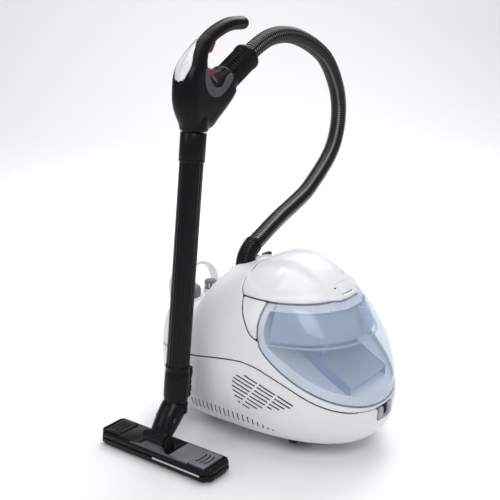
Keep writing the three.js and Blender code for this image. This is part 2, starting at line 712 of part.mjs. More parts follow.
function neck() {
  const dir = new THREE.Vector3(PIVOT_X - WAND_FOOT_X, 0, PIVOT_Z - WAND_FOOT_Z + 1);
  const len = dir.length();
  const profile = [[0, -2], [TUBE_R + 2, -2], [TUBE_R + 2.5, 30], [TUBE_R + 1, 38], [15, len - 18], [12, len],
    [0, len]];
  const start = [WAND_FOOT_X, WAND_Y, WAND_FOOT_Z - 4];
  const barrel = turned(profile, start, dir, 18);
  const cap = alongWand(block(-60, 60, -60, 60, -GAP, 60));
  const a = KNUCKLE_HALF;
  const knuckle = bar([PIVOT_X, WAND_Y - a, PIVOT_Z], [PIVOT_X, WAND_Y + a, PIVOT_Z], KNUCKLE_R, 20);
  const pin = bar([PIVOT_X, WAND_Y - a - EAR_T, PIVOT_Z], [PIVOT_X, WAND_Y + a + EAR_T, PIVOT_Z], PIN_R, 12);
  return join(barrel.subtract(cap), knuckle, pin);
}

// the handle's outlines are given from the middle of the collar's top
const [COLLAR_X, , COLLAR_Z] = onWand(CONNECTOR_LEN + TUBE_LEN + COLLAR_LEN);
const fromCollar = (points) => points.map(([x, z]) => [COLLAR_X + x, COLLAR_Z + z]);
const HANDLE_OUTLINE = fromCollar([[-20, 0], [-26, 14], [-35, 35], [-39, 55], [-38, 81], [-35, 98],
  [-28, 114], [-16, 130], [3, 147], [28, 162], [46, 167], [58, 157], [48, 138], [38, 122], [35, 108],
  [51, 95], [64, 100], [80, 106], [104, 60], [94, 46], [70, 26], [51, 12], [34, 0]]);
const GRIP_LINE = fromCollar([[18, 132], [42, 155], [70, 168], [103, 176], [138, 176]]);
const GRIP_HALF = [10.5, 14];
const INSERT_OUTLINE = fromCollar([[-38, 94], [-40, 104], [-34, 118], [-18, 137], [0, 152], [22, 166],
  [18, 148], [7, 128], [-7, 110], [-20, 98], [-32, 90]]);
const SADDLE_OUTLINE = fromCollar([[19, 100], [16, 80], [24, 62], [40, 52], [60, 54], [80, 67], [90, 84],
  [84, 96], [70, 91], [54, 82], [38, 83], [29, 94], [27, 104]]);
const TRIGGER = { x0: COLLAR_X + 34, x1: COLLAR_X + 52, z0: COLLAR_Z + 78, z1: COLLAR_Z + 105, half: 12 };
const BUTTON = { x0: COLLAR_X + 46, x1: COLLAR_X + 62, z0: COLLAR_Z + 132, z1: COLLAR_Z + 152, half: 7 };

function bit(o, g, deep) {
  const side = o.half + g;
  return block(o.x0 - g, o.x1 + g, WAND_Y - side, WAND_Y + side, o.z0 - deep, o.z1 + g);
}

// bow of the grip that reaches over the fingers towards the hose
function gripBow() {
  const line = new THREE.CatmullRomCurve3(GRIP_LINE.map(([x, z]) => new THREE.Vector3(x, WAND_Y, z)));
  const bow = sweep(line, 8, 12, (a) => [GRIP_HALF[1] * Math.cos(a), GRIP_HALF[0] * Math.sin(a)]);
  const tip = new THREE.SphereGeometry(1, 12, 6);
  tip.scale(12, GRIP_HALF[1], GRIP_HALF[0]);
  tip.translate(GRIP_LINE[4][0], WAND_Y, GRIP_LINE[4][1]);
  return bow.add(solid(tip));
}

function handleBody() {
  const body = frontSlab(HANDLE_OUTLINE, HANDLE_T, 9, 1).add(gripBow());
  const foot = CONNECTOR_LEN + TUBE_LEN + COLLAR_LEN + 3 * GAP;
  const clear = alongWand(block(-200, 200, -100, 100, -200, foot));
  const insert = frontSlab(grow(INSERT_OUTLINE, 0.9), 70);
  const saddle = saddlePocket(HANDLE_T / 2 - 3);
  const trigger = bit(TRIGGER, 0.5, 4);
  const button = block(BUTTON.x0 - 0.5, BUTTON.x1 + 0.5, WAND_Y - 7.5, WAND_Y + 7.5, BUTTON.z0 - 7,
    BUTTON.z1 + 4);
  return piece(cut(body, clear, insert, saddle, trigger, button), COLLAR_X + 56, WAND_Y, COLLAR_Z + 90);
}

// slice of space over the whole handle from y0 to y1
const acrossHandle = (y0, y1) => block(COLLAR_X - 60, COLLAR_X + 150, y0, y1, COLLAR_Z, COLLAR_Z + 150);

// shallow pocket for the grey side panels on both faces of the handle
function saddlePocket(side) {
  const all = frontSlab(grow(SADDLE_OUTLINE, 0.8), 90);
  return all.subtract(acrossHandle(WAND_Y - side, WAND_Y + side));
}

// outline pushed outwards by d
function grow(points, d) {
  const n = points.length;
  let area = 0;
  for (let i = 0; i < n; i += 1) {
    const [x0, z0] = points[i];
    const [x1, z1] = points[(i + 1) % n];
    area += x0 * z1 - x1 * z0;
  }
  const turn = Math.sign(area);
  return points.map((p, i) => {
    const a = points[(i + n - 1) % n];
    const b = points[(i + 1) % n];
    const l = Math.hypot(b[0] - a[0], b[1] - a[1]);
    return [p[0] + turn * (b[1] - a[1]) / l * d, p[1] - turn * (b[0] - a[0]) / l * d];
  });
}

function saddlePanel(sign) {
  const side = HANDLE_T / 2 - 3 + GAP;
  const y0 = sign < 0 ? WAND_Y - side - 3.4 : WAND_Y + side;
  return common(frontSlab(SADDLE_OUTLINE, 90), acrossHandle(y0, y0 + 3.4));
}

const cuffDir = new THREE.Vector3(Math.cos(rad(CUFF_ANGLE)), 0, Math.sin(rad(CUFF_ANGLE)));
const CUFF_START = [COLLAR_X + 92.6, WAND_Y, COLLAR_Z + 83.4];

const onCuff = (s) => [CUFF_START[0] + cuffDir.x * s, WAND_Y, CUFF_START[2] + cuffDir.z * s];

function hoseCuff() {
  const ribs = 8;
  const pitch = (CUFF_LEN - 10) / ribs;
  const profile = [[HOSE_R - 3, 0], [CUFF_R - 2.5, 0]];
  for (let i = 0; i < ribs; i += 1) {
    const z = 3 + i * pitch;
    profile.push([CUFF_R, z + pitch * 0.3], [CUFF_R - 2.5, z + pitch * 0.8]);
  }
  profile.push([CUFF_R + 1, CUFF_LEN - 6], [CUFF_R + 1, CUFF_LEN], [HOSE_R - 3, CUFF_LEN], [HOSE_R - 3, 0]);
  return turned(profile, onCuff(0), cuffDir, 16);
}

// centre line of the hose between the handle cuff and the inlet elbow
const HOSE_ROUTE = [[72, 75, 732], [110, 74, 736], [149, 74, 732], [186, 73, 721], [225, 73, 704],
  [260, 72, 682], [285, 72, 656], [302, 72, 630], [313, 71, 604], [320, 71, 569], [317, 71, 532],
  [302, 70, 497], [282, 70, 472], [258, 70, 452], [229, 69, 433], [198, 69, 414], [156, 68, 399],
  [108, 67, 384], [72, 66, 371]];

function hose() {
  const tail = elbowEnd();
  const t = rad(ELBOW_TILT);
  const near = (d) => [tail[0] + d * Math.sin(t), tail[1], tail[2] + d * Math.cos(t)];
  const pts = [onCuff(CUFF_LEN + 0.6), onCuff(CUFF_LEN + 24), ...HOSE_ROUTE, near(24), near(0.6)];
  const curve = new THREE.CatmullRomCurve3(pts.map((p) => new THREE.Vector3(...p)), false, 'centripetal');
  return sweep(curve, 28, 8, (a) => [HOSE_R * Math.cos(a), HOSE_R * Math.sin(a)]);
}

function wand() {
  add('neck', neck(), BLACK);
  add('lower_connector', lowerConnector(), BLACK);
  add('steam_latch', steamLatch(), BLACK);
  add('extension_tube', extensionTube(), BLACK);
  add('tube_latch', tubeLatch(), BLACK);
  add('handle_body', handleBody(), BLACK);
  add('handle_insert', frontSlab(INSERT_OUTLINE, HANDLE_T - 6, 6, 1), WHITE);
  add('saddle_panel_left', saddlePanel(-1), GREY);
  add('saddle_panel_right', saddlePanel(1), GREY);
  add('trigger', bit(TRIGGER, 0, 0), RED);
  add('grip_button', bit(BUTTON, 0, 0), RED);
  add('hose_cuff', hoseCuff(), BLACK);
  add('hose', hose(), BLACK);
}

// ================= floor head =================
function headPlan(shrink) {
  const a = HEAD_W / 2 - shrink;
  const b = HEAD_L / 2 - shrink;
  const c = 12;
  const d = 6;
  return [[-a, -b + c], [-a + c, -b], [a - d, -b], [a, -b + d], [a, b - d], [a - d, b], [-a + c, b], [-a, b - c]];
}

function headPlate(shrink, z0, z1, bevel = 0) {
  const shape = new THREE.Shape(headPlan(shrink).map(([x, y]) => new THREE.Vector2(HEAD_X + x, HEAD_Y + y)));
  const g = new THREE.ExtrudeGeometry(shape, {
    depth: z1 - z0 - bevel,
    bevelEnabled: bevel > 0,
    bevelThickness: bevel,
    bevelSize: bevel,
    bevelOffset: -bevel,
    bevelSegments: 2,
  });
  g.translate(0, 0, z0);
  return bevel > 0 ? common(solid(g), block(-400, -100, -200, 300, z0, z1)) : solid(g);
}

const PLATES = {
  x0: HEAD_X - HEAD_W / 2 + 4,
  x1: HEAD_X + HEAD_W / 2 - 6,
  inner: KNUCKLE_HALF + EAR_T + 9,
  split: HEAD_L / 2 - 49,
  outer: HEAD_L / 2 - 6,
  depth: 3,
};
const SLOT = { half: 8, end: HEAD_L / 2 - 15 };

// suction slot through the sole and the underside of the head
const mouth = () => block(HEAD_X - SLOT.half, HEAD_X + SLOT.half, HEAD_Y - SLOT.end, HEAD_Y + SLOT.end, 0, 20);


function headBody() {
  let s = headPlate(0, HEAD_BASE + GAP, HEAD_TOP, 4);
  s = s.subtract(mouth());
  for (const side of [-1, 1]) {
    const a = HEAD_Y + side * PLATES.inner;
    const b = HEAD_Y + side * PLATES.outer;
    s = s.subtract(block(PLATES.x0, PLATES.x1, Math.min(a, b), Math.max(a, b), HEAD_TOP - PLATES.depth, 60));
  }
  for (const side of [-1, 1]) {
    const a = HEAD_Y - 1 + side * (KNUCKLE_HALF + 0.6);
    const b = a + side * EAR_T;
    const lug = bar([PIVOT_X, a, PIVOT_Z], [PIVOT_X, b, PIVOT_Z], PIN_R + 6, 16);
    const r = PIN_R + 6;
    const web = block(PIVOT_X - r, PIVOT_X + r, Math.min(a, b), Math.max(a, b), HEAD_TOP - 3, PIVOT_Z);
    s = s.add(lug).add(web);
  }
  const front = HEAD_X - HEAD_W / 2 + 3;
  const nose = block(front, PIVOT_X - KNUCKLE_R - 2, HEAD_Y - 26, HEAD_Y + 24, HEAD_TOP - 2, HEAD_TOP + 9);
  s = s.add(nose);
  const bore = bar([PIVOT_X, HEAD_Y - 60, PIVOT_Z], [PIVOT_X, HEAD_Y + 60, PIVOT_Z], PIN_R + 0.6, 12);
  return s.subtract(bore);
}

function sole() {
  const plate = headPlate(3, HEAD_BASE - SOLE_T, HEAD_BASE);
  return plate.subtract(mouth());
}

function topPlate(side) {
  const a = HEAD_Y + side * (PLATES.inner + GAP);
  const b = HEAD_Y + side * (PLATES.split - GAP);
  const z = HEAD_TOP - PLATES.depth + GAP;
  return block(PLATES.x0 + GAP, PLATES.x1 - GAP, Math.min(a, b), Math.max(a, b), z, HEAD_TOP + 0.5);
}

function slider(side) {
  const a = HEAD_Y + side * (PLATES.split + GAP);
  const b = HEAD_Y + side * (PLATES.outer - 7);
  const z = HEAD_TOP - PLATES.depth + GAP;
  const pad = block(PLATES.x0 + 2, PLATES.x1 - 2, Math.min(a, b), Math.max(a, b), z, HEAD_TOP + 1.5);
  const grooves = [0, 1, 2].map((i) => {
    const y = HEAD_Y + side * (PLATES.split + 10 + i * 9);
    return block(HEAD_X - 17, HEAD_X + 17, y - 1.5, y + 1.5, HEAD_TOP - 0.5, 60);
  });
  return cut(pad, ...grooves);
}

function floorHead() {
  add('head_body', headBody(), BLACK);
  add('head_sole', sole(), BLACK);
  const half = HEAD_L / 2 - 16;
  const z1 = HEAD_BASE - SOLE_T - GAP;
  for (const [name, dx] of [['front', -22], ['rear', 22]]) {
    add(`bristle_${name}`, block(HEAD_X + dx - 3, HEAD_X + dx + 3, HEAD_Y - half, HEAD_Y + half, 0, z1), GREY);
  }
  const x = HEAD_X - HEAD_W / 2 - GAP;
  const y = HEAD_Y - HEAD_L / 2 + 17;
  add('head_trim', block(x - 1.6, x, y, HEAD_Y - 6, HEAD_TOP / 2, HEAD_TOP / 2 + 4), STEEL, { metalness: 0.8 });
  add('top_plate_left', topPlate(1), BLACK);
  add('top_plate_right', topPlate(-1), GREY);
  add('slider_left', slider(1), BLACK);
  add('slider_right', slider(-1), GREY);
}

canister();
wand();
floorHead();

export default root;
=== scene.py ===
"""Canister steam-and-vacuum floor cleaner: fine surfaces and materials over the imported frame."""

import math

import bmesh
import bpy
import numpy as np
from mathutils import Matrix, Vector


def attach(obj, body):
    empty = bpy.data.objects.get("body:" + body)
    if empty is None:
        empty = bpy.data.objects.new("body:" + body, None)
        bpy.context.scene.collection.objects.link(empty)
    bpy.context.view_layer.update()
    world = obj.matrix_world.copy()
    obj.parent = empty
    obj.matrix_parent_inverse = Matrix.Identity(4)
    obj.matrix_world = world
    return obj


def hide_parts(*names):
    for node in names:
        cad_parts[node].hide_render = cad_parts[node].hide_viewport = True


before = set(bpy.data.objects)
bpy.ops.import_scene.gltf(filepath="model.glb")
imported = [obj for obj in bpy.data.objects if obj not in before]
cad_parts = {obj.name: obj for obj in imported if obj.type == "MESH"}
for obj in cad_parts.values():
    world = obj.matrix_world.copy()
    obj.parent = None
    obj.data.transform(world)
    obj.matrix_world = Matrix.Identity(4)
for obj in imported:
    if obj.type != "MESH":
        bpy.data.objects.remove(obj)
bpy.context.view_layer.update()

# the canister's own millimetre frame sits here in the shared frame
OX, OY = 61.5, 5.6
WAND_Y = 75.0               # the wand, handle and neck stand in this plane
PIN = (-260, 75, 45)        # tilt pin of the head
INLET = (-12, 66)           # places on the rear deck
CAP = (-66, 162)
KNOB = (-10, 152)
CASTOR_X, CASTOR_Y = 56, 92
SKIN_CELLS = 84             # cells along one face of the skin's grid
GRIP_WIDE, GRIP_THICK = 14.4, 12.2
RIB_PITCH = 5.2             # hose
TURN = 6.283
CONNECTOR_TOP, TUBE_LENGTH = 70.4, 372


def metres(p):
    return ((p[0] + OX) / 1000, (p[1] + OY) / 1000, p[2] / 1000)


# ---------------------------------------------------------------- camera
def look_from(place, target, focal_px):
    data = bpy.data.cameras.new("camera")
    data.lens = 36 * focal_px / 500
    cam = bpy.data.objects.new("camera", data)
    bpy.context.collection.objects.link(cam)
    cam.location = place
    cam.rotation_mode = "QUATERNION"
    cam.rotation_quaternion = (Vector(target) - Vector(place)).to_track_quat("-Z", "Y")
    data.clip_start, data.clip_end = 0.05, 50
    bpy.context.scene.camera = cam


CAMERA_AT, CAMERA_AIM, FOCAL_PX = (-1472.5, -1047.7, 921.5), (50.8, 100.3, 320.1), 1010.1
look_from(metres(CAMERA_AT), metres(CAMERA_AIM), FOCAL_PX)


# ---------------------------------------------------------------- shader graph
class Sock:
    """A node output that takes part in arithmetic."""

    def __init__(self, graph, socket):
        self.graph, self.socket = graph, socket

    def _math(self, op, *args):
        return self.graph.node("ShaderNodeMath", {"operation": op}, args)

    def __add__(self, o): return self._math("ADD", self, o)
    def __radd__(self, o): return self._math("ADD", o, self)
    def __sub__(self, o): return self._math("SUBTRACT", self, o)
    def __rsub__(self, o): return self._math("SUBTRACT", o, self)
    def __mul__(self, o): return self._math("MULTIPLY", self, o)
    def sin(self): return self._math("SINE", self)
    def clamp(self): return self._math("MINIMUM", self._math("MAXIMUM", self, 0.0), 1.0)


class Graph:
    def __init__(self, name):
        self.mat = bpy.data.materials.new(name)
        self.mat.use_nodes = True
        self.tree = self.mat.node_tree
        self.tree.nodes.clear()

    def node(self, kind, settings=None, sockets=(), out=0):
        n = self.tree.nodes.new(kind)
        for key, value in (settings or {}).items():
            setattr(n, key, value)
        items = sockets.items() if isinstance(sockets, dict) else enumerate(sockets)
        for key, value in items:
            if isinstance(value, Sock):
                self.tree.links.new(value.socket, n.inputs[key])
            else:
                n.inputs[key].default_value = value
        return Sock(self, n.outputs[out]) if len(n.outputs) else None

    def coords(self, scale=1.0):
        c = self.node("ShaderNodeTexCoord", out="Object")
        return self.node("ShaderNodeVectorMath", {"operation": "SCALE"}, {0: c, 3: scale})

    def noise(self, scale, detail=3.0, at=None):
        return self.node("ShaderNodeTexNoise", None, {"Vector": at or self.coords(), "Scale": scale,
            "Detail": detail})

    def mix(self, factor, a, b):
        return self.node("ShaderNodeMix", {"data_type": "RGBA"}, {0: factor, 6: a, 7: b}, out=2)

    def bump(self, height, strength, distance=0.001):
        return self.node("ShaderNodeBump", None, {"Height": height, "Strength": strength,
            "Distance": distance})

    def principled(self, **sockets):
        named = {k.replace("_", " "): v for k, v in sockets.items()}
        return self.node("ShaderNodeBsdfPrincipled", None, named)

    def done(self, shader):
        self.node("ShaderNodeOutputMaterial", None, {"Surface": shader})
        return self.mat


def rgb(r, g, b):
    return (r, g, b, 1.0)


def plastic(name, light, dark, rough=0.35, spread=0.1, grain=900.0, depth=0.05, coat=0.0):
    """Moulded plastic: slow colour drift, fine grain and slightly uneven gloss."""
    g = Graph(name)
    drift = g.noise(9.0, 4.0)
    fine = g.noise(grain, 2.0)
    colour = g.mix(drift, rgb(*dark), rgb(*light))
    gloss = rough + (g.noise(26.0, 5.0) - 0.5) * spread + (fine - 0.5) * 0.06
    shine = 0.5 if light[0] > 0.05 else 0.15
    return g.done(g.principled(Base_Color=colour, Roughness=gloss, Coat_Weight=coat,
        Specular_IOR_Level=shine, Coat_Roughness=0.12, Normal=g.bump(fine, depth, 0.0004)))


def clear_plastic(name, tint, body, solid, rough=0.08):
    """See-through tinted plastic: light passes straight on, with a gloss skin over it."""
    g = Graph(name)
    haze = g.noise(14.0, 4.0)
    skin = g.principled(Base_Color=g.mix(haze, rgb(*body), rgb(*[c * 0.86 for c in body])),
        Roughness=rough + haze * 0.06, Coat_Weight=0.4, Coat_Roughness=0.05,
        Normal=g.bump(g.noise(60.0, 2.0), 0.04, 0.0006))
    through = g.node("ShaderNodeBsdfTransparent", None, {"Color": rgb(*tint)})
    return g.done(g.node("ShaderNodeMixShader", None, {0: solid + haze * 0.12, 1: through,
        2: skin}))


def brushed(name, base, rough):
    """Metal with fine lines along one direction."""
    g = Graph(name)
    c = g.coords()
    parts = g.node("ShaderNodeSeparateXYZ", None, {0: c}, out=0)
    lines = g.node("ShaderNodeTexNoise", {"noise_dimensions": "1D"},
        {"W": parts * 900.0, "Scale": 1.0, "Detail": 4.0})
    colour = g.mix(lines, rgb(*[v * 0.78 for v in base]), rgb(*base))
    return g.done(g.principled(Base_Color=colour, Metallic=1.0, Roughness=rough + lines * 0.14,
        Normal=g.bump(lines, 0.06, 0.0004)))


def woven_hose(name):
    """Glossy black hose wall with a braid bump, and rows of small pale glints painted into its
    colour as highlights.
    """
    g = Graph(name)
    uv = g.node("ShaderNodeUVMap", {"uv_map": "UVMap"})
    split = g.tree.nodes.new("ShaderNodeSeparateXYZ")
    g.tree.links.new(uv.socket, split.inputs[0])
    u, v = Sock(g, split.outputs[0]), Sock(g, split.outputs[1])
    a = (u * TURN * 12.0 + v * TURN).sin()
    b = (u * TURN * 12.0 - v * TURN).sin()
    braid = ((a * b) * 0.5 + 0.5).clamp()
    # painted highlight: rows of pale dots put into the base colour where the ribs would catch the
    # light
    row = ((u * TURN * 5.0).sin() - 0.55).clamp() * 2.2
    dash = ((v * TURN).sin() - 0.1).clamp() * 1.1
    painted_glint = row * dash
    colour = g.mix(painted_glint, rgb(0.003, 0.003, 0.0035), rgb(0.62, 0.62, 0.63))
    return g.done(g.principled(Base_Color=colour, Roughness=0.26 + braid * 0.14,
        Specular_IOR_Level=0.4, Normal=g.bump(braid, 0.3, 0.0007)))


def pleated(name, light, dark):
    """Matt folds or tufts in rows, with painted shade: darker in the troughs and lighter on the
    crests of the fold bump.
    """
    g = Graph(name)
    parts = g.node("ShaderNodeSeparateXYZ", None, {0: g.coords()}, out=1)
    fold = (parts * 1600.0).sin() * 0.5 + 0.5
    # painted shade: the colour follows the fold bump, dark in its troughs and light on its crests
    colour = g.mix(fold, rgb(*dark), rgb(*light))
    return g.done(g.principled(Base_Color=colour, Roughness=0.85 + g.noise(300.0) * 0.1,
        Normal=g.bump(fold, 0.8, 0.002)))


def textured_rubber(name, base):
    """Rubber grip with small raised pips, their tops painted lighter and the ground between them
    darker as painted light and shade.
    """
    g = Graph(name)
    cells = g.node("ShaderNodeTexVoronoi", {"feature": "F1"},
        {"Vector": g.coords(), "Scale": 420.0})
    pip_and_shade = (1.0 - cells * 1.9).clamp()
    # painted light and shade: pale on the pip tops, darker between the pips
    colour = g.mix(pip_and_shade, rgb(*[c * 0.6 for c in base]), rgb(*base))
    return g.done(g.principled(Base_Color=colour, Roughness=0.6 + g.noise(80.0) * 0.15,
        Normal=g.bump(pip_and_shade, 0.5, 0.0006)))


WHITE = plastic("white_shell", (0.83, 0.837, 0.85), (0.78, 0.79, 0.81), rough=0.3, grain=1400,
    depth=0.03, coat=0.35)
WHITE_GLOSS = plastic("white_insert", (0.86, 0.87, 0.88), (0.79, 0.8, 0.82), rough=0.26, depth=0.02,
    coat=0.3)
BLACK = plastic("black_grained", (0.007, 0.0072, 0.008), (0.004, 0.0042, 0.0048), rough=0.3,
    spread=0.12, depth=0.1)
BLACK_SATIN = plastic("black_satin", (0.010, 0.0102, 0.0112), (0.006, 0.0062, 0.007), rough=0.27,
    spread=0.1, depth=0.05)
# near-black fill for the seams, the vent and clamp slots and the back of the grille: painted shade
# for their shadowed insides
BLACK_SHADE_FILL = plastic("black_shade_fill", (0.006, 0.006, 0.007), (0.003, 0.003, 0.004), rough=0.5,
    depth=0.1)
GREY = plastic("grey_plastic", (0.17, 0.18, 0.195), (0.12, 0.127, 0.14), rough=0.42, depth=0.12)
GREY_PALE = plastic("grey_pale", (0.42, 0.43, 0.45), (0.34, 0.35, 0.37), rough=0.36, depth=0.08)
# lighter grey for the right head plate and its clamp: a painted sheen standing in for the light
# they reflect
PLATE_SHEEN_GREY = plastic("plate_sheen_grey", (0.20, 0.21, 0.23), (0.15, 0.158, 0.175), rough=0.3, depth=0.1)
GREY_DARK = plastic("grey_dark", (0.07, 0.074, 0.082), (0.05, 0.053, 0.06), rough=0.4, depth=0.14)
GREY_PIPS = textured_rubber("grey_pips", (0.10, 0.105, 0.115))
RED = plastic("red_plastic", (0.36, 0.012, 0.02), (0.25, 0.008, 0.014), rough=0.33, depth=0.06,
    coat=0.2)
CLEAR = clear_plastic("tank_clear", (0.958, 0.976, 0.998), (0.80, 0.86, 0.96), 0.10)
TANK_BACK = clear_plastic("tank_back", (0.88, 0.92, 0.98), (0.82, 0.87, 0.94), 0.86, 0.3)
BASKET = clear_plastic("basket_clear", (0.88, 0.93, 0.99), (0.66, 0.77, 0.93), 0.36, 0.2)
BLUE = clear_plastic("chute_blue", (0.34, 0.48, 0.78), (0.24, 0.37, 0.66), 0.78, 0.2)
STEEL = brushed("steel_trim", (0.62, 0.63, 0.65), 0.24)
ALU = brushed("boiler_metal", (0.56, 0.57, 0.59), 0.38)
TYRE = textured_rubber("tyre_rubber", (0.06, 0.06, 0.063))
BOARD = plastic("circuit_board", (0.03, 0.16, 0.06), (0.02, 0.10, 0.04), rough=0.4, depth=0.2)
# pleats and tufts carry painted shade in their troughs
PAPER = pleated("filter_paper", (0.72, 0.69, 0.58), (0.5, 0.47, 0.38))
BRISTLE = pleated("bristle_tufts", (0.12, 0.12, 0.125), (0.03, 0.03, 0.032))
HOSE = woven_hose("hose_wall")


# ---------------------------------------------------------------- mesh helpers
def build(name, verts, faces, material, body, replaces=(), slot=None, sharp=0.7):
    """Object from millimetre vertices in the canister's frame, riding on a body."""
    mesh = bpy.data.meshes.new(name)
    mesh.from_pydata([metres(v) for v in verts], [], [list(f) for f in faces])
    mesh.update()
    obj = bpy.data.objects.new(name, mesh)
    bpy.context.collection.objects.link(obj)
    mesh.materials.append(material)
    mesh.shade_smooth()
    if sharp:
        mesh.set_sharp_from_angle(angle=sharp)
    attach(obj, body)
    if replaces:
        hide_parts(*replaces)
    return obj


def apply_all(obj):
    """Bakes an object's modifiers into its mesh."""
    deps = bpy.context.evaluated_depsgraph_get()
    baked = bpy.data.meshes.new_from_object(obj.evaluated_get(deps))
    obj.modifiers.clear()
    obj.data = baked
    return obj


def bevelled(obj, width=1.0, segments=2, angle=0.5):
    m = obj.modifiers.new("edge", "BEVEL")
    m.width = width / 1000
    m.segments = segments
    m.limit_method = "ANGLE"
    m.angle_limit = angle
    m.harden_normals = False
    apply_all(obj)
    obj.data.shade_smooth()
    obj.data.set_sharp_from_angle(angle=0.9)
    return obj


def basis(axis, hint=(0, 0, 1)):
    """Two directions square to an axis."""
    a = np.array(axis, float)
    a /= np.linalg.norm(a)
    h = np.array(hint, float)
    if abs(a @ h) > 0.95:
        h = np.array([1.0, 0.0, 0.0])
    u = np.cross(h, a)
    u /= np.linalg.norm(u)
    return u, np.cross(a, u), a


def turned(profile, start, axis, seg=48, wave=None):
    """Profile of (radius, height) turned about an axis; wave(angle, radius, height) varies it."""
    u, v, a = basis(axis)
    verts, faces, rings = [], [], []
    for r, h in profile:
        centre = np.array(start, float) + a * h
        if r < 1e-6:
            rings.append([len(verts)])
            verts.append(centre)
            continue
        ring = []
        for k in range(seg):
            t = 2 * math.pi * k / seg
            q = wave(t, r, h) if wave else r
            ring.append(len(verts))
            verts.append(centre + u * q * math.cos(t) + v * q * math.sin(t))
        rings.append(ring)
    for p, q in zip(rings, rings[1:]):
        for k in range(seg):
            j = (k + 1) % seg
            if len(p) == 1 and len(q) == 1:
                continue
            if len(p) == 1:
                faces.append((p[0], q[j], q[k]))
            elif len(q) == 1:
                faces.append((p[k], p[j], q[0]))
            else:
                faces.append((p[k], p[j], q[j], q[k]))
    return verts, faces


def ring_faces(count, seg):
    """Quads between rings of seg points each, closed by a cap at both ends."""
    faces = []
    for i in range(count - 1):
        for k in range(seg):
            j = (k + 1) % seg
            faces.append((i * seg + k, i * seg + j, (i + 1) * seg + j, (i + 1) * seg + k))
    faces.append(tuple(reversed(range(seg))))
    faces.append(tuple(range((count - 1) * seg, count * seg)))
    return faces


def tube(points, radius, seg):
    """Rings along a line, where radius is f(distance, angle)."""
    pts = np.array(points, float)
    tangent = np.gradient(pts, axis=0)
    tangent /= np.linalg.norm(tangent, axis=1)[:, None]
    u = basis(tangent[0])[0]
    along = np.concatenate([[0], np.cumsum(np.linalg.norm(np.diff(pts, axis=0), axis=1))])
    verts = []
    for i, (p, t) in enumerate(zip(pts, tangent)):
        u = u - t * (u @ t)
        u /= np.linalg.norm(u)
        v = np.cross(t, u)
        for k in range(seg):
            a = 2 * math.pi * k / seg
            r = radius(along[i], a)
            verts.append(p + u * (math.cos(a) * r) + v * (math.sin(a) * r))
    return verts, ring_faces(len(pts), seg)


def spline(points, count):
    """Centripetal Catmull-Rom line through the points, evenly spaced."""
    p = np.array(points, float)
    ext = np.vstack([2 * p[0] - p[1], p, 2 * p[-1] - p[-2]])
    out = []
    for i in range(1, len(ext) - 2):
        p0, p1, p2, p3 = ext[i - 1:i + 3]
        t0 = 0.0
        t1 = t0 + np.linalg.norm(p1 - p0) ** 0.5
        t2 = t1 + np.linalg.norm(p2 - p1) ** 0.5
        t3 = t2 + np.linalg.norm(p3 - p2) ** 0.5
        for t in np.linspace(t1, t2, 24, endpoint=i == len(ext) - 3):
            a1 = (t1 - t) / (t1 - t0) * p0 + (t - t0) / (t1 - t0) * p1
            a2 = (t2 - t) / (t2 - t1) * p1 + (t - t1) / (t2 - t1) * p2
            a3 = (t3 - t) / (t3 - t2) * p2 + (t - t2) / (t3 - t2) * p3
            b1 = (t2 - t) / (t2 - t0) * a1 + (t - t0) / (t2 - t0) * a2
            b2 = (t3 - t) / (t3 - t1) * a2 + (t - t1) / (t3 - t1) * a3
            out.append((t2 - t) / (t2 - t1) * b1 + (t - t1) / (t2 - t1) * b2)
    out = np.array(out)
    s = np.concatenate([[0], np.cumsum(np.linalg.norm(np.diff(out, axis=0), axis=1))])
    want = np.linspace(0, s[-1], count)
    return np.stack([np.interp(want, s, out[:, k]) for k in range(out.shape[1])], 1)


def prism(outline, axis, lo, hi):
    """Closed outline of 2-D points pushed along an axis (0 = X, 1 = Y, 2 = Z) from lo to hi."""
    other = [k for k in range(3) if k != axis]
    verts = []
    for w in (lo, hi):
        for p in outline:
            q = [0.0, 0.0, 0.0]
            q[axis] = w
            q[other[0]], q[other[1]] = p
            verts.append(q)
    n = len(outline)
    faces = [tuple(reversed(range(n))), tuple(range(n, 2 * n))]
    faces += [(i, (i + 1) % n, n + (i + 1) % n, n + i) for i in range(n)]
    return verts, faces


def block(x0, x1, y0, y1, z0, z1):
    return prism([(x0, y0), (x1, y0), (x1, y1), (x0, y1)], 2, z0, z1)


def merged(*parts):
    verts, faces = [], []
    for v, f in parts:
        base = len(verts)
        verts += list(v)
        faces += [tuple(i + base for i in q) for q in f]
    return verts, faces


def moulded(name, parts, voxel, rounds, material, body, replaces=(), slot=None):
    """Fuses overlapping solids into one skin and eases its edges."""
    obj = build(name, *merged(*parts), material, body, replaces, slot)
    bm = bmesh.new()
    bm.from_mesh(obj.data)
    bmesh.ops.recalc_face_normals(bm, faces=bm.faces)
    bm.to_mesh(obj.data)
    bm.free()
    m = obj.modifiers.new("fuse", "REMESH")
    m.mode = "VOXEL"
    m.voxel_size = voxel / 1000
    s = obj.modifiers.new("ease", "SMOOTH")
    s.factor = 0.6
    s.iterations = rounds
    apply_all(obj)
    obj.data.materials.clear()
    obj.data.materials.append(material)
    obj.data.shade_smooth()
    return obj


# ---------------------------------------------------------------- canister skin
HALF_W, FRONT, REAR = 160.0, 245.0, 225.0
WIDE_Y, WIDE_Z = 15.0, 120.0
CREST_Z, DECK_Z, BELLY_Z, FLOOR_Z = 364.0, 246.0, 14.0, 17.0


def ease(a, b, x):
    t = np.clip((x - a) / (b - a), 0, 1)
    return t * t * (3 - 2 * t)


def bulge(s, p):
    return (1 - np.clip(s, 0, 1) ** p) ** (1 / p)


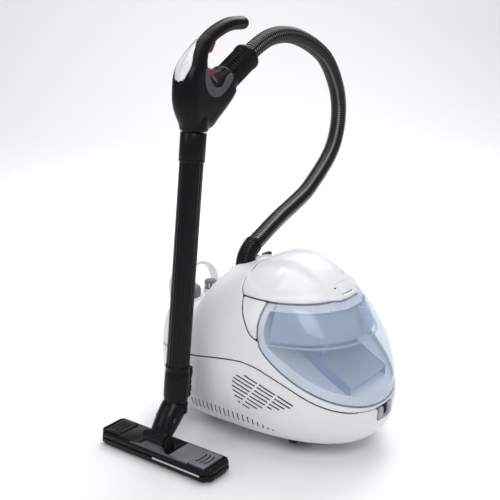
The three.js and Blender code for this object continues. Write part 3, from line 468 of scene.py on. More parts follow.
def field(x, y, z):
    """Negative inside the canister, positive outside."""
    front = y < WIDE_Y
    s = np.where(front, (WIDE_Y - y) / (WIDE_Y + FRONT), (y - WIDE_Y) / (REAR - WIDE_Y))
    half = HALF_W * np.where(front, bulge(s, 2.25), bulge(s, 2.7)) + 1e-6
    drop = 0.36 * ease(-90, 75, y) + 0.64 * ease(60, 122, y)
    top = CREST_Z + (DECK_Z - CREST_Z) * drop
    rh = 36 + 14 * ease(-150, 40, y)
    ridge = 9 * (1 - ease(rh - 9, rh + 9, np.abs(x))) * (1 - ease(-30, 45, y)) * ease(-225, -150, y)
    up = (top - WIDE_Z) * np.where(front, bulge(s, 1.9), bulge(s, 5)) + ridge + 1e-6
    down = (WIDE_Z - BELLY_Z) * np.where(front, bulge(s, 4), bulge(s, 7)) + 1e-6
    above = z > WIDE_Z
    n = np.where(above, 2.35 + 1.6 * ease(20, 150, y), 2.6)
    h = np.where(above, (z - WIDE_Z) / up, (WIDE_Z - z) / down)
    v = (np.abs(x / half) ** n + np.abs(h) ** n) ** (1 / n) - 1
    return np.where(s < 1, v, 0.5)


def reach(dirs):
    """Points where rays from the middle of the canister leave it."""
    lo, hi = np.zeros(len(dirs)), np.full(len(dirs), 420.0)
    for _ in range(30):
        mid = (lo + hi) / 2
        inside = field(dirs[:, 0] * mid, dirs[:, 1] * mid, WIDE_Z + dirs[:, 2] * mid) < 0
        lo, hi = np.where(inside, mid, lo), np.where(inside, hi, mid)
    p = dirs * lo[:, None]
    p[:, 2] += WIDE_Z
    return p


def outward(p, e=1.5):
    g = np.stack([field(p[:, 0] + e * (k == 0), p[:, 1] + e * (k == 1),
        p[:, 2] + e * (k == 2)) - field(p[:, 0] - e * (k == 0), p[:, 1] - e * (k == 1),
        p[:, 2] - e * (k == 2)) for k in range(3)], 1)
    return g / (np.linalg.norm(g, axis=1)[:, None] + 1e-12)


def top_at(x, y):
    zs = np.linspace(WIDE_Z, 400, 2801)
    inside = field(np.full_like(zs, x), np.full_like(zs, y), zs) < 0
    return zs[inside].max()


def region(points):
    """Signed distance from a closed outline in the side view (y, z), negative inside."""
    poly = np.array(points, float)
    a, b = poly, np.roll(poly, -1, axis=0)

    def distance(p):
        q = p[:, 1:3]
        best = np.full(len(q), 1e9)
        inside = np.zeros(len(q), bool)
        for s, e in zip(a, b):
            d = e - s
            t = np.clip(((q - s) @ d) / (d @ d + 1e-12), 0, 1)
            best = np.minimum(best, np.linalg.norm(q - (s + t[:, None] * d), axis=1))
            cross = (s[1] > q[:, 1]) != (e[1] > q[:, 1])
            at = s[0] + (q[:, 1] - s[1]) * d[0] / (d[1] if abs(d[1]) > 1e-9 else 1e-9)
            inside ^= cross & (q[:, 0] < at)
        return np.where(inside, -best, best)

    return distance


def grid(n):
    """Directions and quads of a cube pushed out to a sphere; n is cells, or cells by face."""
    dirs, quads = [], []
    for f in range(6):
        axis, sign = f // 2, 1 - 2 * (f % 2)
        m = n.get(f, n["rest"]) if isinstance(n, dict) else n
        t = np.tan(np.linspace(-math.pi / 4, math.pi / 4, m + 1))
        u, v = np.meshgrid(t, t, indexing="ij")
        p = np.zeros((m + 1, m + 1, 3))
        p[..., axis], p[..., (axis + 1) % 3], p[..., (axis + 2) % 3] = sign, u * sign, v
        p /= np.linalg.norm(p, axis=2, keepdims=True)
        base = sum(len(d) for d in dirs)
        dirs.append(p.reshape(-1, 3))
        i, j = np.meshgrid(np.arange(m), np.arange(m), indexing="ij")
        k = (base + i * (m + 1) + j).ravel()
        quads += list(zip(k, k + m + 1, k + m + 2, k + 1))
    dirs = np.concatenate(dirs)
    keys = {}
    where = np.empty(len(dirs), int)
    for i, d in enumerate(np.round(dirs, 5)):
        where[i] = keys.setdefault(tuple(d), i)
    return dirs, [tuple(where[list(q)]) for q in quads]


def divide(points, polys, value, level, keep_outside):
    """Cuts polygons where value crosses level; the far side is dropped or kept."""
    pts, val = list(points), list(value)
    new = {}

    def cut(i, j):
        key = (min(i, j), max(i, j))
        if key not in new:
            t = (level - val[i]) / (val[j] - val[i])
            new[key] = len(pts)
            pts.append(pts[i] + (pts[j] - pts[i]) * t)
            val.append(level)
        return new[key]

    out = []
    for poly in polys:
        low = [val[i] < level for i in poly]
        if all(low):
            out.append(poly)
            continue
        if not any(low):
            if keep_outside:
                out.append(poly)
            continue
        a, b = [], []
        for i, j in zip(poly, poly[1:] + poly[:1]):
            (a if val[i] < level else b).append(i)
            if (val[i] < level) != (val[j] < level):
                c = cut(i, j)
                a.append(c)
                b.append(c)
        out.append(tuple(a))
        if keep_outside:
            out.append(tuple(b))
    return np.array(pts), out, np.array(val)


def skin_panel(name, shape, n, material, body, rise=0.0, thick=3.4, lip=1.6, drop=1.1,
        replaces=(), slot=None, flat_floor=False, relief=None):
    """A solid sheet of the canister's skin inside the region where shape(points) is negative."""
    dirs, quads = grid(n)
    pts = reach(dirs)
    pts, quads, val = divide(pts, quads, shape(pts), 0.0, False)
    pts, quads, val = divide(pts, quads, val, -lip, True)
    away = pts - np.array([0, 0, WIDE_Z])
    pts = reach(away / np.linalg.norm(away, axis=1)[:, None])
    normal = outward(pts)
    edge = val > -1e-6
    outer = pts + normal * rise - normal * np.where(edge, drop, 0.0)[:, None]
    if relief is not None:
        outer = outer + normal * relief(pts)[:, None]
    inner = pts + normal * (rise - thick)
    if flat_floor:
        outer[:, 2] = np.maximum(outer[:, 2], FLOOR_Z)
        inner[:, 2] = np.maximum(inner[:, 2], FLOOR_Z + 3)
    used = sorted({i for q in quads for i in q})
    index = {k: i for i, k in enumerate(used)}
    quads = [tuple(index[i] for i in q) for q in quads]
    m = len(used)
    verts = [outer[k] for k in used] + [inner[k] for k in used]
    edges = {}
    for q in quads:
        for i, j in zip(q, q[1:] + q[:1]):
            edges[(i, j)] = True
    faces = quads + [tuple(m + i for i in reversed(q)) for q in quads]
    faces += [(j, i, m + i, m + j) for i, j in edges if (j, i) not in edges]
    obj = build(name, verts, faces, material, body, replaces, slot, sharp=None)
    obj.data.set_sharp_from_angle(angle=1.0)
    return obj


HOOD_EDGE = 296.0
HOOD_REAR = [(20, 420), (16, 346), (13, 318), (5, 305), (-6, HOOD_EDGE)]
WINDOW_EDGE = [(-62, 302), (-56, 278), (-55, 252), (-64, 222), (-82, 203), (-112, 180), (-146, 158),
    (-190, 135), (-224, 121), (-262, 107)]
CHEEK_EDGE = [(-6, HOOD_EDGE), (-14, 277), (-28, 256), (-44, 238), (-64.5, 228.5)]
CREASE = [(260, 146), (160, 162), (79, 172), (1, 184), (-32, 187), (-64, 182), (-102, 167),
    (-130, 153), (-171, 130), (-213, 113), (-270, 103)]
HALF_SEAM = 0.9


def rounded(points, count=40):
    return [tuple(p) for p in spline(points, count)]


WINDOW = rounded(WINDOW_EDGE)
CHEEK = rounded(CHEEK_EDGE, 16)
LOW_LINE = rounded(CREASE)
hood_region = region(HOOD_REAR + [(-300, HOOD_EDGE), (-300, 420)])
window_region = region([p for p in WINDOW if p[1] < HOOD_EDGE] + [(-300, 107), (-300, HOOD_EDGE),
    (-60.5, HOOD_EDGE)])
cut_at = next(i for i, p in enumerate(WINDOW) if p[1] < 229)
cheek_front = [p for p in WINDOW[:cut_at] if p[1] < HOOD_EDGE]
cheek_region = region(CHEEK + list(reversed(cheek_front)) + [(-60.5, HOOD_EDGE)])
upper_region = region([(20, 420), (16, 346), (13, 318), (5,
    305)] + CHEEK + WINDOW[cut_at:] + list(reversed(LOW_LINE)) + [(300, 140), (300, 420)])
lower_region = region(LOW_LINE + [(-300, 100), (-300, -50), (300, -50), (300, 143)])


def grown(distance, by=HALF_SEAM):
    """The region drawn in by half a seam, a little more across the back of the hood."""
    return lambda p: distance(p) + by + 0.9 * ease(312, 322, p[:, 2]) * ease(-12, 4, p[:, 1])


def either(*fields):
    return lambda p: np.max([f(p) for f in fields], axis=0)


def bore(x, y, r, lo, hi):
    """Round hole through the skin between two heights."""
    return lambda p: np.where((p[:, 2] > lo) & (p[:, 2] < hi),
        r - np.hypot(p[:, 0] - x, p[:, 1] - y), -1e3)


def carve(obj, verts, faces):
    """Cuts a closed shape out of an object."""
    mesh = bpy.data.meshes.new("cutter")
    mesh.from_pydata([metres(v) for v in verts], [], [list(f) for f in faces])
    bm = bmesh.new()
    bm.from_mesh(mesh)
    bmesh.ops.recalc_face_normals(bm, faces=bm.faces)
    bm.to_mesh(mesh)
    bm.free()
    cutter = bpy.data.objects.new("cutter", mesh)
    bpy.context.collection.objects.link(cutter)
    m = obj.modifiers.new("cut", "BOOLEAN")
    m.operation, m.solver, m.object = "DIFFERENCE", "EXACT", cutter
    apply_all(obj)
    bpy.data.objects.remove(cutter)
    bpy.data.meshes.remove(mesh)
    return obj


def lofted(plan, profile):
    """Outline plan(inset) stacked at the heights of (inset, z) steps, closed top and bottom."""
    verts = [(x, y, z) for inset, z in profile for x, y in plan(inset)]
    return verts, ring_faces(len(profile), len(plan(0.0)))


def pillow(outline, half, soft, cell=2.0):
    """Both faces of an (x, z) outline swelling to half thickness, edges rounded over soft."""
    edge = region(outline)
    pts = np.array(outline, float)
    lo, hi = pts.min(0) - cell, pts.max(0) + cell
    nx, nz = [int(math.ceil(v / cell)) for v in hi - lo]
    gx, gz = np.meshgrid(np.linspace(lo[0], hi[0], nx + 1), np.linspace(lo[1], hi[1], nz + 1),
        indexing="ij")
    p = np.stack([np.zeros(gx.size), gx.ravel(), gz.ravel()], 1)
    i, j = np.meshgrid(np.arange(nx), np.arange(nz), indexing="ij")
    k = (i * (nz + 1) + j).ravel()
    quads = list(zip(k, k + nz + 1, k + nz + 2, k + 1))
    p, quads, val = divide(p, quads, edge(p), 0.0, False)
    used = sorted({q for f in quads for q in f})
    index = {q: i for i, q in enumerate(used)}
    quads = [tuple(index[q] for q in f) for f in quads]
    x, z, d = p[used, 1], p[used, 2], np.maximum(-val[used], 0)
    d = np.where(d < 1e-6, 0, d)
    wide = half(x, z) if callable(half) else half
    t = wide * np.sqrt(np.maximum(1 - (1 - np.minimum(d / soft, 1)) ** 2, 0))
    m = len(used)
    rim = d == 0
    other = np.where(rim, np.arange(m), m + np.arange(m))
    verts = np.concatenate([np.stack([x, WAND_Y - t, z], 1), np.stack([x, WAND_Y + t, z], 1)])
    faces = [tuple(reversed(f)) for f in quads] + [tuple(int(other[q]) for q in f) for f in quads]
    return verts, faces


# ---------------------------------------------------------------- hose
CUFF_DIR = (math.cos(math.radians(28)), 0.0, math.sin(math.radians(28)))
CUFF_AT = (-52.92, 75.0, 673.18)


def on_cuff(s):
    return tuple(a + d * s for a, d in zip(CUFF_AT, CUFF_DIR))


ELBOW_KNEE = (-12.0, 66.0, 336.0)
ELBOW_DIR = (math.sin(math.radians(68)), 0.0, math.cos(math.radians(68)))


def on_elbow(s):
    return tuple(a + d * s for a, d in zip(ELBOW_KNEE, ELBOW_DIR))


HOSE_ROUTE = [on_cuff(68.6), on_cuff(92), (72, 75, 732), (110, 74, 736), (149, 74, 732),
    (186, 73, 721), (225, 73, 704), (260, 72, 682), (285, 72, 656), (302, 72, 630), (313, 71, 604),
    (320, 71, 569), (317, 71, 532), (302, 70, 497), (282, 70, 472), (258, 70, 452), (229, 69, 433),
    (198, 69, 414), (156, 68, 399), (108, 67, 384), (72, 66, 371), on_elbow(56), on_elbow(32.6)]
HOSE_D = 32.0


def make_hose():
    line = spline(HOSE_ROUTE, 1100)
    length = float(np.linalg.norm(np.diff(line, axis=0), axis=1).sum())
    seg = 36

    def wall(s, a):
        rib = 0.9 * (0.5 + 0.5 * math.cos(2 * math.pi * s / RIB_PITCH))
        lobe = 0.35 * (0.5 + 0.5 * math.cos(10 * a))
        return HOSE_D / 2 - 0.9 + rib + lobe

    hose = build("hose_skin", *tube(line, wall, seg), HOSE, "canister", ("hose",), "black_gloss",
        sharp=None)
    layer = hose.data.uv_layers.new(name="UVMap")
    for poly in hose.data.polygons:
        ids = list(poly.vertices)
        if len(ids) != 4:
            continue
        wrap = any(i % seg == 0 for i in ids) and any(i % seg == seg - 1 for i in ids)
        for loop, i in zip(poly.loop_indices, ids):
            k = i % seg
            u = 1.0 if wrap and k == 0 else k / seg
            layer.data[loop].uv = (u, (i // seg) / len(line) * length / RIB_PITCH)
    start = metres(line[0])
    [metres(p) for p in line[::16]] + [metres(line[-1])]


make_hose()


# ---------------------------------------------------------------- canister
GRILLE = [(-42, 164, -69, 154), (-73, 153, -104, 139), (-108, 138, -136, 123), (-25, 161, -65, 148),
    (-69, 147, -100, 134), (-103, 132, -131, 118), (-19, 155, -60, 142), (-64, 140, -95, 128),
    (-98, 126, -121, 115), (-17, 148, -55, 135), (-59, 134, -90, 122), (-93, 120, -112, 112),
    (-17, 139, -51, 129), (-54, 127, -85, 116), (-89, 114, -98, 110), (-19, 131, -46, 122),
    (-49, 121, -80, 109), (-23, 121, -41, 116), (-45, 114, -70, 105), (-30, 111, -35, 109),
    (-39, 107, -54, 102)]
GRILLE_RIM = [(-25, 168), (-10, 151), (-13, 132), (-24, 112), (-37, 99), (-72, 100), (-115, 108),
    (-143, 121), (-112, 139), (-72, 157), (-43, 170)]
EDGE_SLOTS = [(y, 77 - abs(k - 6) * 0.35 - max(0, k - 13) * 2.0,
    10.5 - 0.12 * k - max(0, k - 12) * 1.1) for k, y in enumerate([86, 76.5, 67, 57, 46.5, 36.5, 27,
    17, 7, -3, -13, -23.5, -34.5, -45, -54.5, -64, -74, -83, -92])]


def groove(outline, deep, wide):
    """Height change for a thin engraved line along a closed outline on the flanks."""
    edge = region(outline)
    return lambda p: -deep * np.exp(-(edge(p) / wide) ** 2)


def flank_x(y, z):
    xs = np.linspace(0, 175, 1401)
    v = field(xs, np.full_like(xs, y), np.full_like(xs, z)) < 0
    return xs[v].max() if v.any() else 0.0


def painted_seam_shade():
    """Dark strips deep in the gaps between the shells: painted shade that stands for the shadow
    inside the seams.
    """
    rear = np.array([(z, y) for y, z in reversed(HOOD_REAR)], float)
    arch = []
    for t in np.linspace(-1, 1, 161):
        a = math.radians(90 - 48 * t)
        z = 330.0
        for _ in range(12):
            y = np.interp(z, rear[:, 0], rear[:, 1])
            lo, hi = 0.0, 420.0
            for _ in range(24):
                mid = (lo + hi) / 2
                inside = field(np.array([math.cos(a) * mid]), np.array([y]),
                    np.array([WIDE_Z + math.sin(a) * mid]))[0] < 0
                lo, hi = (mid, hi) if inside else (lo, mid)
            z = WIDE_Z + math.sin(a) * lo
        if z >= HOOD_EDGE:
            arch.append((math.cos(a) * lo, y, z))
    lines = [(arch, 1.5)]
    for side in (-1, 1):
        lines.append(([(side * flank_x(y, z), y, z) for y, z in CHEEK], 0.85))
        lines.append(([(side * flank_x(y, z), y, z) for y, z in LOW_LINE if -236 < y < 218], 0.85))
        lines.append(([(side * flank_x(y, HOOD_EDGE), y, HOOD_EDGE) for y in np.linspace(-6, -60,
            24)], 0.85))
    for k, (line, r) in enumerate(lines):
        pts = np.array(line)
        pts = pts - outward(pts) * (r + 0.3)
        # painted shade: a dark strip sunk just under the seam
        build("seam_shade_strip_%d" % k, *tube(spline([tuple(q) for q in pts], len(pts) * 3), lambda s, a,
            r=r: r, 10), BLACK_SHADE_FILL, "canister", slot="black")


def painted_slot_shade():
    """Dark strips that fill the vent slots of the near flank just below the surface, as painted
    shade for the shadowed inside.
    """
    ends = [(y0, z0, y1, z1, 1.45) for y0, z0, y1, z1 in GRILLE]
    ends += [(y + 0.2, z - h, y - 1.8, z + h, 1.35) for y, z, h in EDGE_SLOTS]
    parts = []
    for y0, z0, y1, z1, r in ends:
        pts = []
        for t in np.linspace(0, 1, 9):
            y, z = y0 + (y1 - y0) * t, z0 + (z1 - z0) * t
            pts.append((-flank_x(y, z), y, z))
        pts = np.array(pts)
        pts = pts - outward(pts) * (r + 0.25)
        parts.append(tube(spline([tuple(q) for q in pts], 18), lambda s, a, r=r: r, 8))
    build("slot_shade_strips", *merged(*parts), BLACK_SHADE_FILL, "canister", slot="black")


def shell_pieces():
    wells = [bore(x, y, 27, 0, 60) for x in (-CASTOR_X, CASTOR_X) for y in (-CASTOR_Y, CASTOR_Y)]
    recess = region([(-300, 80), (-300, 107), (-200, 107), (-200, 80)])
    latch_cut = (lambda p: np.where((np.abs(p[:, 0]) < 40) & (p[:, 1] < -200),
        -np.maximum(np.abs(p[:, 0]) - 23, recess(p)), -1e3))
    rim = groove(GRILLE_RIM, 0.7, 1.1)
    low = skin_panel("shell_lower", either(grown(lower_region), *wells, latch_cut), SKIN_CELLS,
        WHITE, "canister", replaces=("lower_shell",), slot="white", flat_floor=True,
        relief=lambda p: np.where(p[:, 0] < -60, rim(p), 0.0))
    slots = []
    for y0, z0, y1, z1 in GRILLE:
        d = np.array([y1 - y0, z1 - z0], float)
        d /= np.linalg.norm(d)
        s = np.array([-d[1], d[0]]) * 1.6
        a, b = np.array([y0, z0]), np.array([y1, z1])
        slots.append(prism([tuple(a + s), tuple(a - s), tuple(b - s), tuple(b + s)], 0, -240, -90))
    for y, z, h in EDGE_SLOTS:
        slots.append(prism([(y - 1.5, z - h), (y + 1.5, z - h), (y - 0.5, z + h), (y - 3.5, z + h)],
            0, -240, -60))
    carve(low, *merged(*slots))
    low.data.set_sharp_from_angle(angle=1.0)
    # dark sheet behind the vent slots: painted shade for the shadowed inside of the shell
    shade_lining = skin_panel("grille_shade_lining", lambda p: np.where(p[:, 0] < -40,
        np.maximum(region([(110, 54), (110, 96), (0, 110), (0, 172), (-60, 176), (-150, 130),
        (-150, 90), (-110, 50)])(p), -5.0), 50.0), 40, BLACK_SHADE_FILL, "canister", rise=-4.4, thick=2,
        lip=0.5, drop=0.0)

    painted_seam_shade()
    painted_slot_shade()
    ring = bore(*INLET, 20.6, 250, 500)
    cap = bore(*CAP, 26, 200, 300)
    skin_panel("shell_upper", either(grown(upper_region), ring, cap), SKIN_CELLS, WHITE, "canister",
        replaces=("upper_shell",), slot="white")
    for side in (-1, 1):
        one_side = (lambda p, s=side: np.where(p[:, 0] * s > 20, -1e3, 1e3))
        name = "left" if side < 0 else "right"
        skin_panel("cheek_panel_" + name, either(grown(cheek_region), one_side), SKIN_CELLS, WHITE,
            "canister", replaces=("cheek_" + name,), slot="white")
    tab = (lambda p: np.where((p[:, 2] > 250) & (p[:, 1] < -100),
        -np.maximum(np.abs(p[:, 0]) - 17.5, np.abs(p[:, 1] + 151.3) - 9.0), -1e3))
    crease = region([(20, 330), (-2, 316), (-60, 302.5), (-150, 306), (-230, 300), (-300, 200),
        (60, 200)])

    def fold(p):
        # the skirt of the hood steps out a little below a soft crease on each flank
        side = ease(40, 70, np.abs(p[:, 0]))
        return (1.6 * (1 - ease(-3.2, 2.2, crease(p))) - 0.2) * side

    skin_panel("hood_skin", either(grown(hood_region), tab), SKIN_CELLS, WHITE, "hood",
        replaces=("hood_lid",), slot="white", relief=fold)


def tank_pieces():
    skin_panel("tank_wall", grown(window_region, 0.3), SKIN_CELLS, CLEAR, "tank", thick=3.0,
        replaces=("water_tank",), slot="clear")
    # border frame of the window, where the wall thickens to meet the shell
    frame_band = (lambda p: np.maximum(window_region(p) + 1.6,
        -(window_region(p) + 13 + 6 * (1 - ease(185, 235, p[:, 2])))))
    skin_panel("tank_border", frame_band, SKIN_CELLS, BORDER, "tank", rise=-3.6, thick=2.2, lip=0.8,
        drop=0.4)
    # rear wall behind the water
    rear = []
    line = [p for p in spline([p for p in WINDOW_EDGE if 107 <= p[1] <= 290], 40) if p[0] > -228]
    cols = 21
    for y, z in line:
        xs = np.linspace(0, 170, 341)
        v = field(xs, np.full_like(xs, y - 3), np.full_like(xs, z + 2))
        wide = xs[v < 0].max() - 5 if (v < 0).any() else 5
        rear.append([(wide * (2 * c / (cols - 1) - 1), y - 3.2, z + 2.4) for c in range(cols)])
    sheet_of("tank_rear_wall", rear, 2.4, TANK_BACK, "tank")


def sheet_of(name, rows, thick, material, body, replaces=(), slot="clear"):
    """Closed sheet through a grid of points, thickened along its own normal."""
    g = np.array(rows, float)
    du, dv = np.gradient(g, axis=0), np.gradient(g, axis=1)
    nrm = np.cross(du, dv)
    nrm /= np.linalg.norm(nrm, axis=2, keepdims=True) + 1e-12
    top, bottom = g + nrm * thick / 2, g - nrm * thick / 2
    r, c = g.shape[:2]
    verts = np.concatenate([top.reshape(-1, 3), bottom.reshape(-1, 3)])
    faces, m = [], r * c
    for i in range(r - 1):
        for j in range(c - 1):
            k = i * c + j
            faces += [(k, k + c, k + c + 1, k + 1), (m + k, m + k + 1, m + k + c + 1, m + k + c)]
    ring = ([(0, j) for j in range(c)] + [(i, c - 1) for i in range(1, r)] + [(r - 1,
        j) for j in range(c - 2, -1, -1)] + [(i, 0) for i in range(r - 2, 0, -1)])
    ids = [i * c + j for i, j in ring]
    for a, b in zip(ids, ids[1:] + ids[:1]):
        faces.append((a, b, m + b, m + a))
    return build(name, verts, faces, material, body, replaces, slot)


BORDER = clear_plastic("window_border", (0.95, 0.965, 0.985), (0.90, 0.92, 0.96), 0.86, 0.14)
shell_pieces()
tank_pieces()


def drum_ring(z, inset):
    """Line round the front of the tank at one height, drawn in from its wall."""
    pts = []
    for t in np.linspace(math.pi, 2 * math.pi, 45):
        lo, hi = 0.0, 260.0
        for _ in range(24):
            mid = (lo + hi) / 2
            v = field(np.array([math.cos(t) * mid]), np.array([-78 + math.sin(t) * mid]),
                np.array([z]))[0]
            lo, hi = (mid, hi) if v < 0 else (lo, mid)
        q = max(lo - inset / max(abs(math.cos(t)), 0.62), 4)
        pts.append((math.cos(t) * q, -78 + math.sin(t) * q))
    return pts


def tank_inside():
    # upper bowl that holds the filter: its wall follows the tank, its floor slopes in to the rim
    rings = [(228.6, 15), (230, 11.5), (240, 9.5), (255, 8.5), (270, 8), (284, 7.6), (290, 7.5)]
    outer = [[(x, y, z) for x, y in drum_ring(z, inset)] for z, inset in rings]
    sheet_of("filter_bowl", outer, 2.0, BASKET, "tank", ("filter_basket",))
    floor_line = drum_ring(229, 14)
    rows = []
    for k in np.linspace(1, 0.0, 9):
        rows.append([(x * max(k, 0.04), -80 + (y + 80) * max(k, 0.04), 227.4 - 5 * (1 - k)) for x,
            y in floor_line])
    sheet_of("filter_bowl_floor", rows, 1.8, BASKET, "tank")
    back = [[(x, -77.2, z) for x in np.linspace(-1, 1, 21) * min(112,
        148 - (z - 225) * 0.45)] for z in np.linspace(229, 290, 8)]
    sheet_of("filter_bowl_back", back, 2.0, BASKET, "tank")
    # grey gasket under the bowl
    gasket = drum_ring(222.5, 10.5)
    loop = [(x, y, 222.6) for x, y in gasket]
    build("bowl_gasket", *tube(loop, lambda s, a: 2.3, 12), BASKET, "tank", ("filter_rim",), "grey")
    # curved chute that leads the dirt down into the water
    line = spline([(-102, 208), (-122, 197), (-142, 185), (-172, 168), (-207, 149)], 30)
    wall = np.array(sorted(WINDOW))
    rows = [[(x, y, z - 0.0012 * (62 * 62 - x * x)) for x in np.linspace(-62, 62, 25)] for y,
        z in line]
    sheet_of("water_chute", rows, 2.6, BASKET, "tank", ("baffle",), "blue")
    for side in (-1, 1):
        rows = [[(side * (62 - 0.4), y, foot + (z + 2.5 - foot) * h) for h in np.linspace(0, 1,
            6)] for (y, z), foot in zip(line, np.interp(line[:, 0], wall[:, 0], wall[:, 1]) + 5.5)]
        sheet_of("chute_cheek_" + ("left" if side < 0 else "right"), rows, 2.2, BLUE, "tank",
            slot="blue")
    box = prism([(-58, -118), (-34, -118), (-34, -146), (-58, -146)], 2, 196, 219)
    bevelled(build("water_gauge_box", *box, BLUE, "tank", slot="blue"), 3, 3)
    build("float_disc", *turned([(0, 0), (8.6, 0.2), (9.8, 1.4), (9.8, 8.6), (8.6, 9.8), (3, 10),
        (0, 10)], (0, -101, 205), (0, 0, 1), 40), RED, "float_ball", ("float",), "red")
    # clear ribs that carry the bowl
    for k, x in enumerate((-54, 0, 54)):
        y = -150 - (1 - abs(x) / 60) * 40
        bevelled(build("bowl_rib_%d" % k, *prism([(x - 1, y - 9), (x + 1, y - 9), (x + 1, y + 9),
            (x - 1, y + 9)], 2, 231, 282), BASKET, "tank", slot="clear"), 0.7, 2)


def grooved(count, depth, sharp=1.0):
    """Wave of upright grooves round a knob, left out near its middle."""
    return lambda a, r, h: r - (
        depth * (0.5 + 0.5 * math.cos(count * a)) ** sharp if r > 9 else 0.0)


def skin_seat(x, y, r):
    return max(top_at(x, y - r), top_at(x - r, y), top_at(x + r, y)) + 3


def deck_pieces():
    up = (0, 0, 1)
    cap_z, knob_z = skin_seat(*CAP, 24), skin_seat(*KNOB, 13)
    # raised seats moulded in the deck
    for name, x, y, r, z in (("seat_cap", *CAP, 25, cap_z), ("seat_knob", *KNOB, 14, knob_z)):
        build(name, *turned([(r - 7, -16), (r, -16), (r + 0.6, -4), (r, -1.2), (r - 1.4, 0),
            (r - 7, 0), (r - 7, -16)], (x, y, z), up, 72), WHITE, "canister", slot="white")
    z = cap_z + 0.5
    build("filler_cap_body", *turned([(0, -15), (14, -15), (14, 0), (23.2, 0), (24, 0.9),
        (24, 13.5), (23.4, 15), (20.6, 18.6), (19.2, 19.6), (13, 19.9), (12.4, 19.1), (0, 19.1)],
        (*CAP, z), up, 144, grooved(24, 1.0, 3)), GREY, "filler_cap", ("boiler_cap",), "grey")
    bevelled(build("filler_cap_bar", *block(-85, -47, 158.6, 165.4, z + 17, z + 21), GREY,
        "filler_cap", slot="grey"), 1.6, 3)
    z = knob_z + 0.5
    build("steam_dial_body", *turned([(0, -12), (4, -12), (4, 0), (12, 0), (12.5, 0.8), (12.5, 13),
        (12.1, 14.4), (10.6, 16.4), (9.2, 17), (0, 17)], (*KNOB, z), up, 144,
        grooved(10, 1.7, 2.4)), GREY, "steam_dial", ("steam_knob",), "grey")
    for k in range(5):
        a = math.radians(150 + 36 * k + 18)
        m = np.array([KNOB[0] + 12.15 * math.cos(a), KNOB[1] + 12.15 * math.sin(a)])
        t = np.array([-math.sin(a), math.cos(a)]) * 0.9
        o = np.array([math.cos(a), math.sin(a)]) * 0.55
        bevelled(build("dial_mark_%d" % k, *prism([tuple(m - t - o), tuple(m + t - o),
            tuple(m + t + o), tuple(m - t + o)], 2, z + 3, z + 12.5), WHITE_GLOSS, "steam_dial",
            slot="white"), 0.3, 1)
    # inlet: ring, elbow and lugs
    build("inlet_ring", *turned([(20.8, 0), (29, 0), (29, 10), (28.2, 13.4), (26.6, 15), (23, 15.4),
        (21.4, 15), (20.8, 14), (20.8, 0)], (*INLET, 289), up, 96), BLACK, "canister",
        ("socket_ring",), "black")
    bend = spline([(-12, 66, 292.6), (-12, 66, 306), (-10.5, 66, 319), (-4.5, 66, 331),
        (5, 66, 340.5), on_elbow(32)], 90)
    build("elbow_wall", *tube(bend, lambda s, a: 17.6 + 0.35 * math.cos(2 * math.pi * s / 4.4), 48),
        BLACK_SATIN, "canister", ("hose_elbow",), "black")
    build("elbow_lip", *turned([(16.4, 0), (17.4, 0), (17.6, 0.6), (17.6, 6), (17.4, 6.6),
        (16.4, 6.6), (16.4, 0)], on_elbow(26), ELBOW_DIR, 64), BLACK, "canister", slot="black")
    for k, (x, y) in enumerate(((36, 75), (66, 70))):
        z0 = top_at(x, y)
        bevelled(build("release_lug_%d" % k, *block(x - 11, x + 11, y - 5, y + 5, z0 - 6, z0 + 6.5),
            BLACK, "canister", slot="black"), 1.4, 3)
    # fixed carrying handle
    half, y, rise, lean, w, t = 66, 200, 50, 12, 20, 9
    foot = top_at(half - 5, y - w / 2) + 0.8
    pts = [(x * half, y + lean * k, foot + rise * k) for x,
        k in ((-1, 0), (-0.86, 0.62), (-0.45, 0.95), (0, 1), (0.45, 0.95), (0.86, 0.62), (1, 0))]
    bow = spline(pts, 90)
    verts, seg = [], 40
    tangent = np.gradient(bow, axis=0)
    for p, d in zip(bow, tangent / np.linalg.norm(tangent, axis=1)[:, None]):
        side = np.array([0, 1.0, 0]) - d * d[1]
        side /= np.linalg.norm(side)
        nrm = np.cross(d, side)
        for k in range(seg):
            a = 2 * math.pi * k / seg
            ca, sa = math.cos(a), math.sin(a)
            q = (abs(ca) ** 2.6 + abs(sa) ** 2.6) ** (-1 / 2.6)
            verts.append(p + side * w / 2 * ca * q + nrm * t / 2 * sa * q)
    build("carry_bow", verts, ring_faces(len(bow), seg), WHITE, "canister", ("carry_handle",),
        "white")
    z = top_at(42, 165)
    rock = [(158.5, z - 6), (171.5, z - 6), (171.5, z + 2.4), (168, z + 1.7), (165, z + 0.9),
        (162, z + 1.7), (158.5, z + 2.4)]
    bevelled(build("rocker_cap", *prism(rock, 0, 34, 50), BLACK_SATIN, "rocker", ("deck_rocker",),
        "black_gloss"), 0.8, 3)
    build("gland_boot", *turned([(4, 0), (9.9, 0), (9.9, 28)] + [(q, 28 + 1.2 * i) for i,
        q in enumerate((8, 9, 7.6, 8.6, 7.2, 8.2, 6.9, 7.8, 6.6, 7.3))] + [(4, 40), (4, 0)],
        (60, 194, 70), (0, 1, 0), 40), BLACK, "canister", ("lead_gland",), "black")
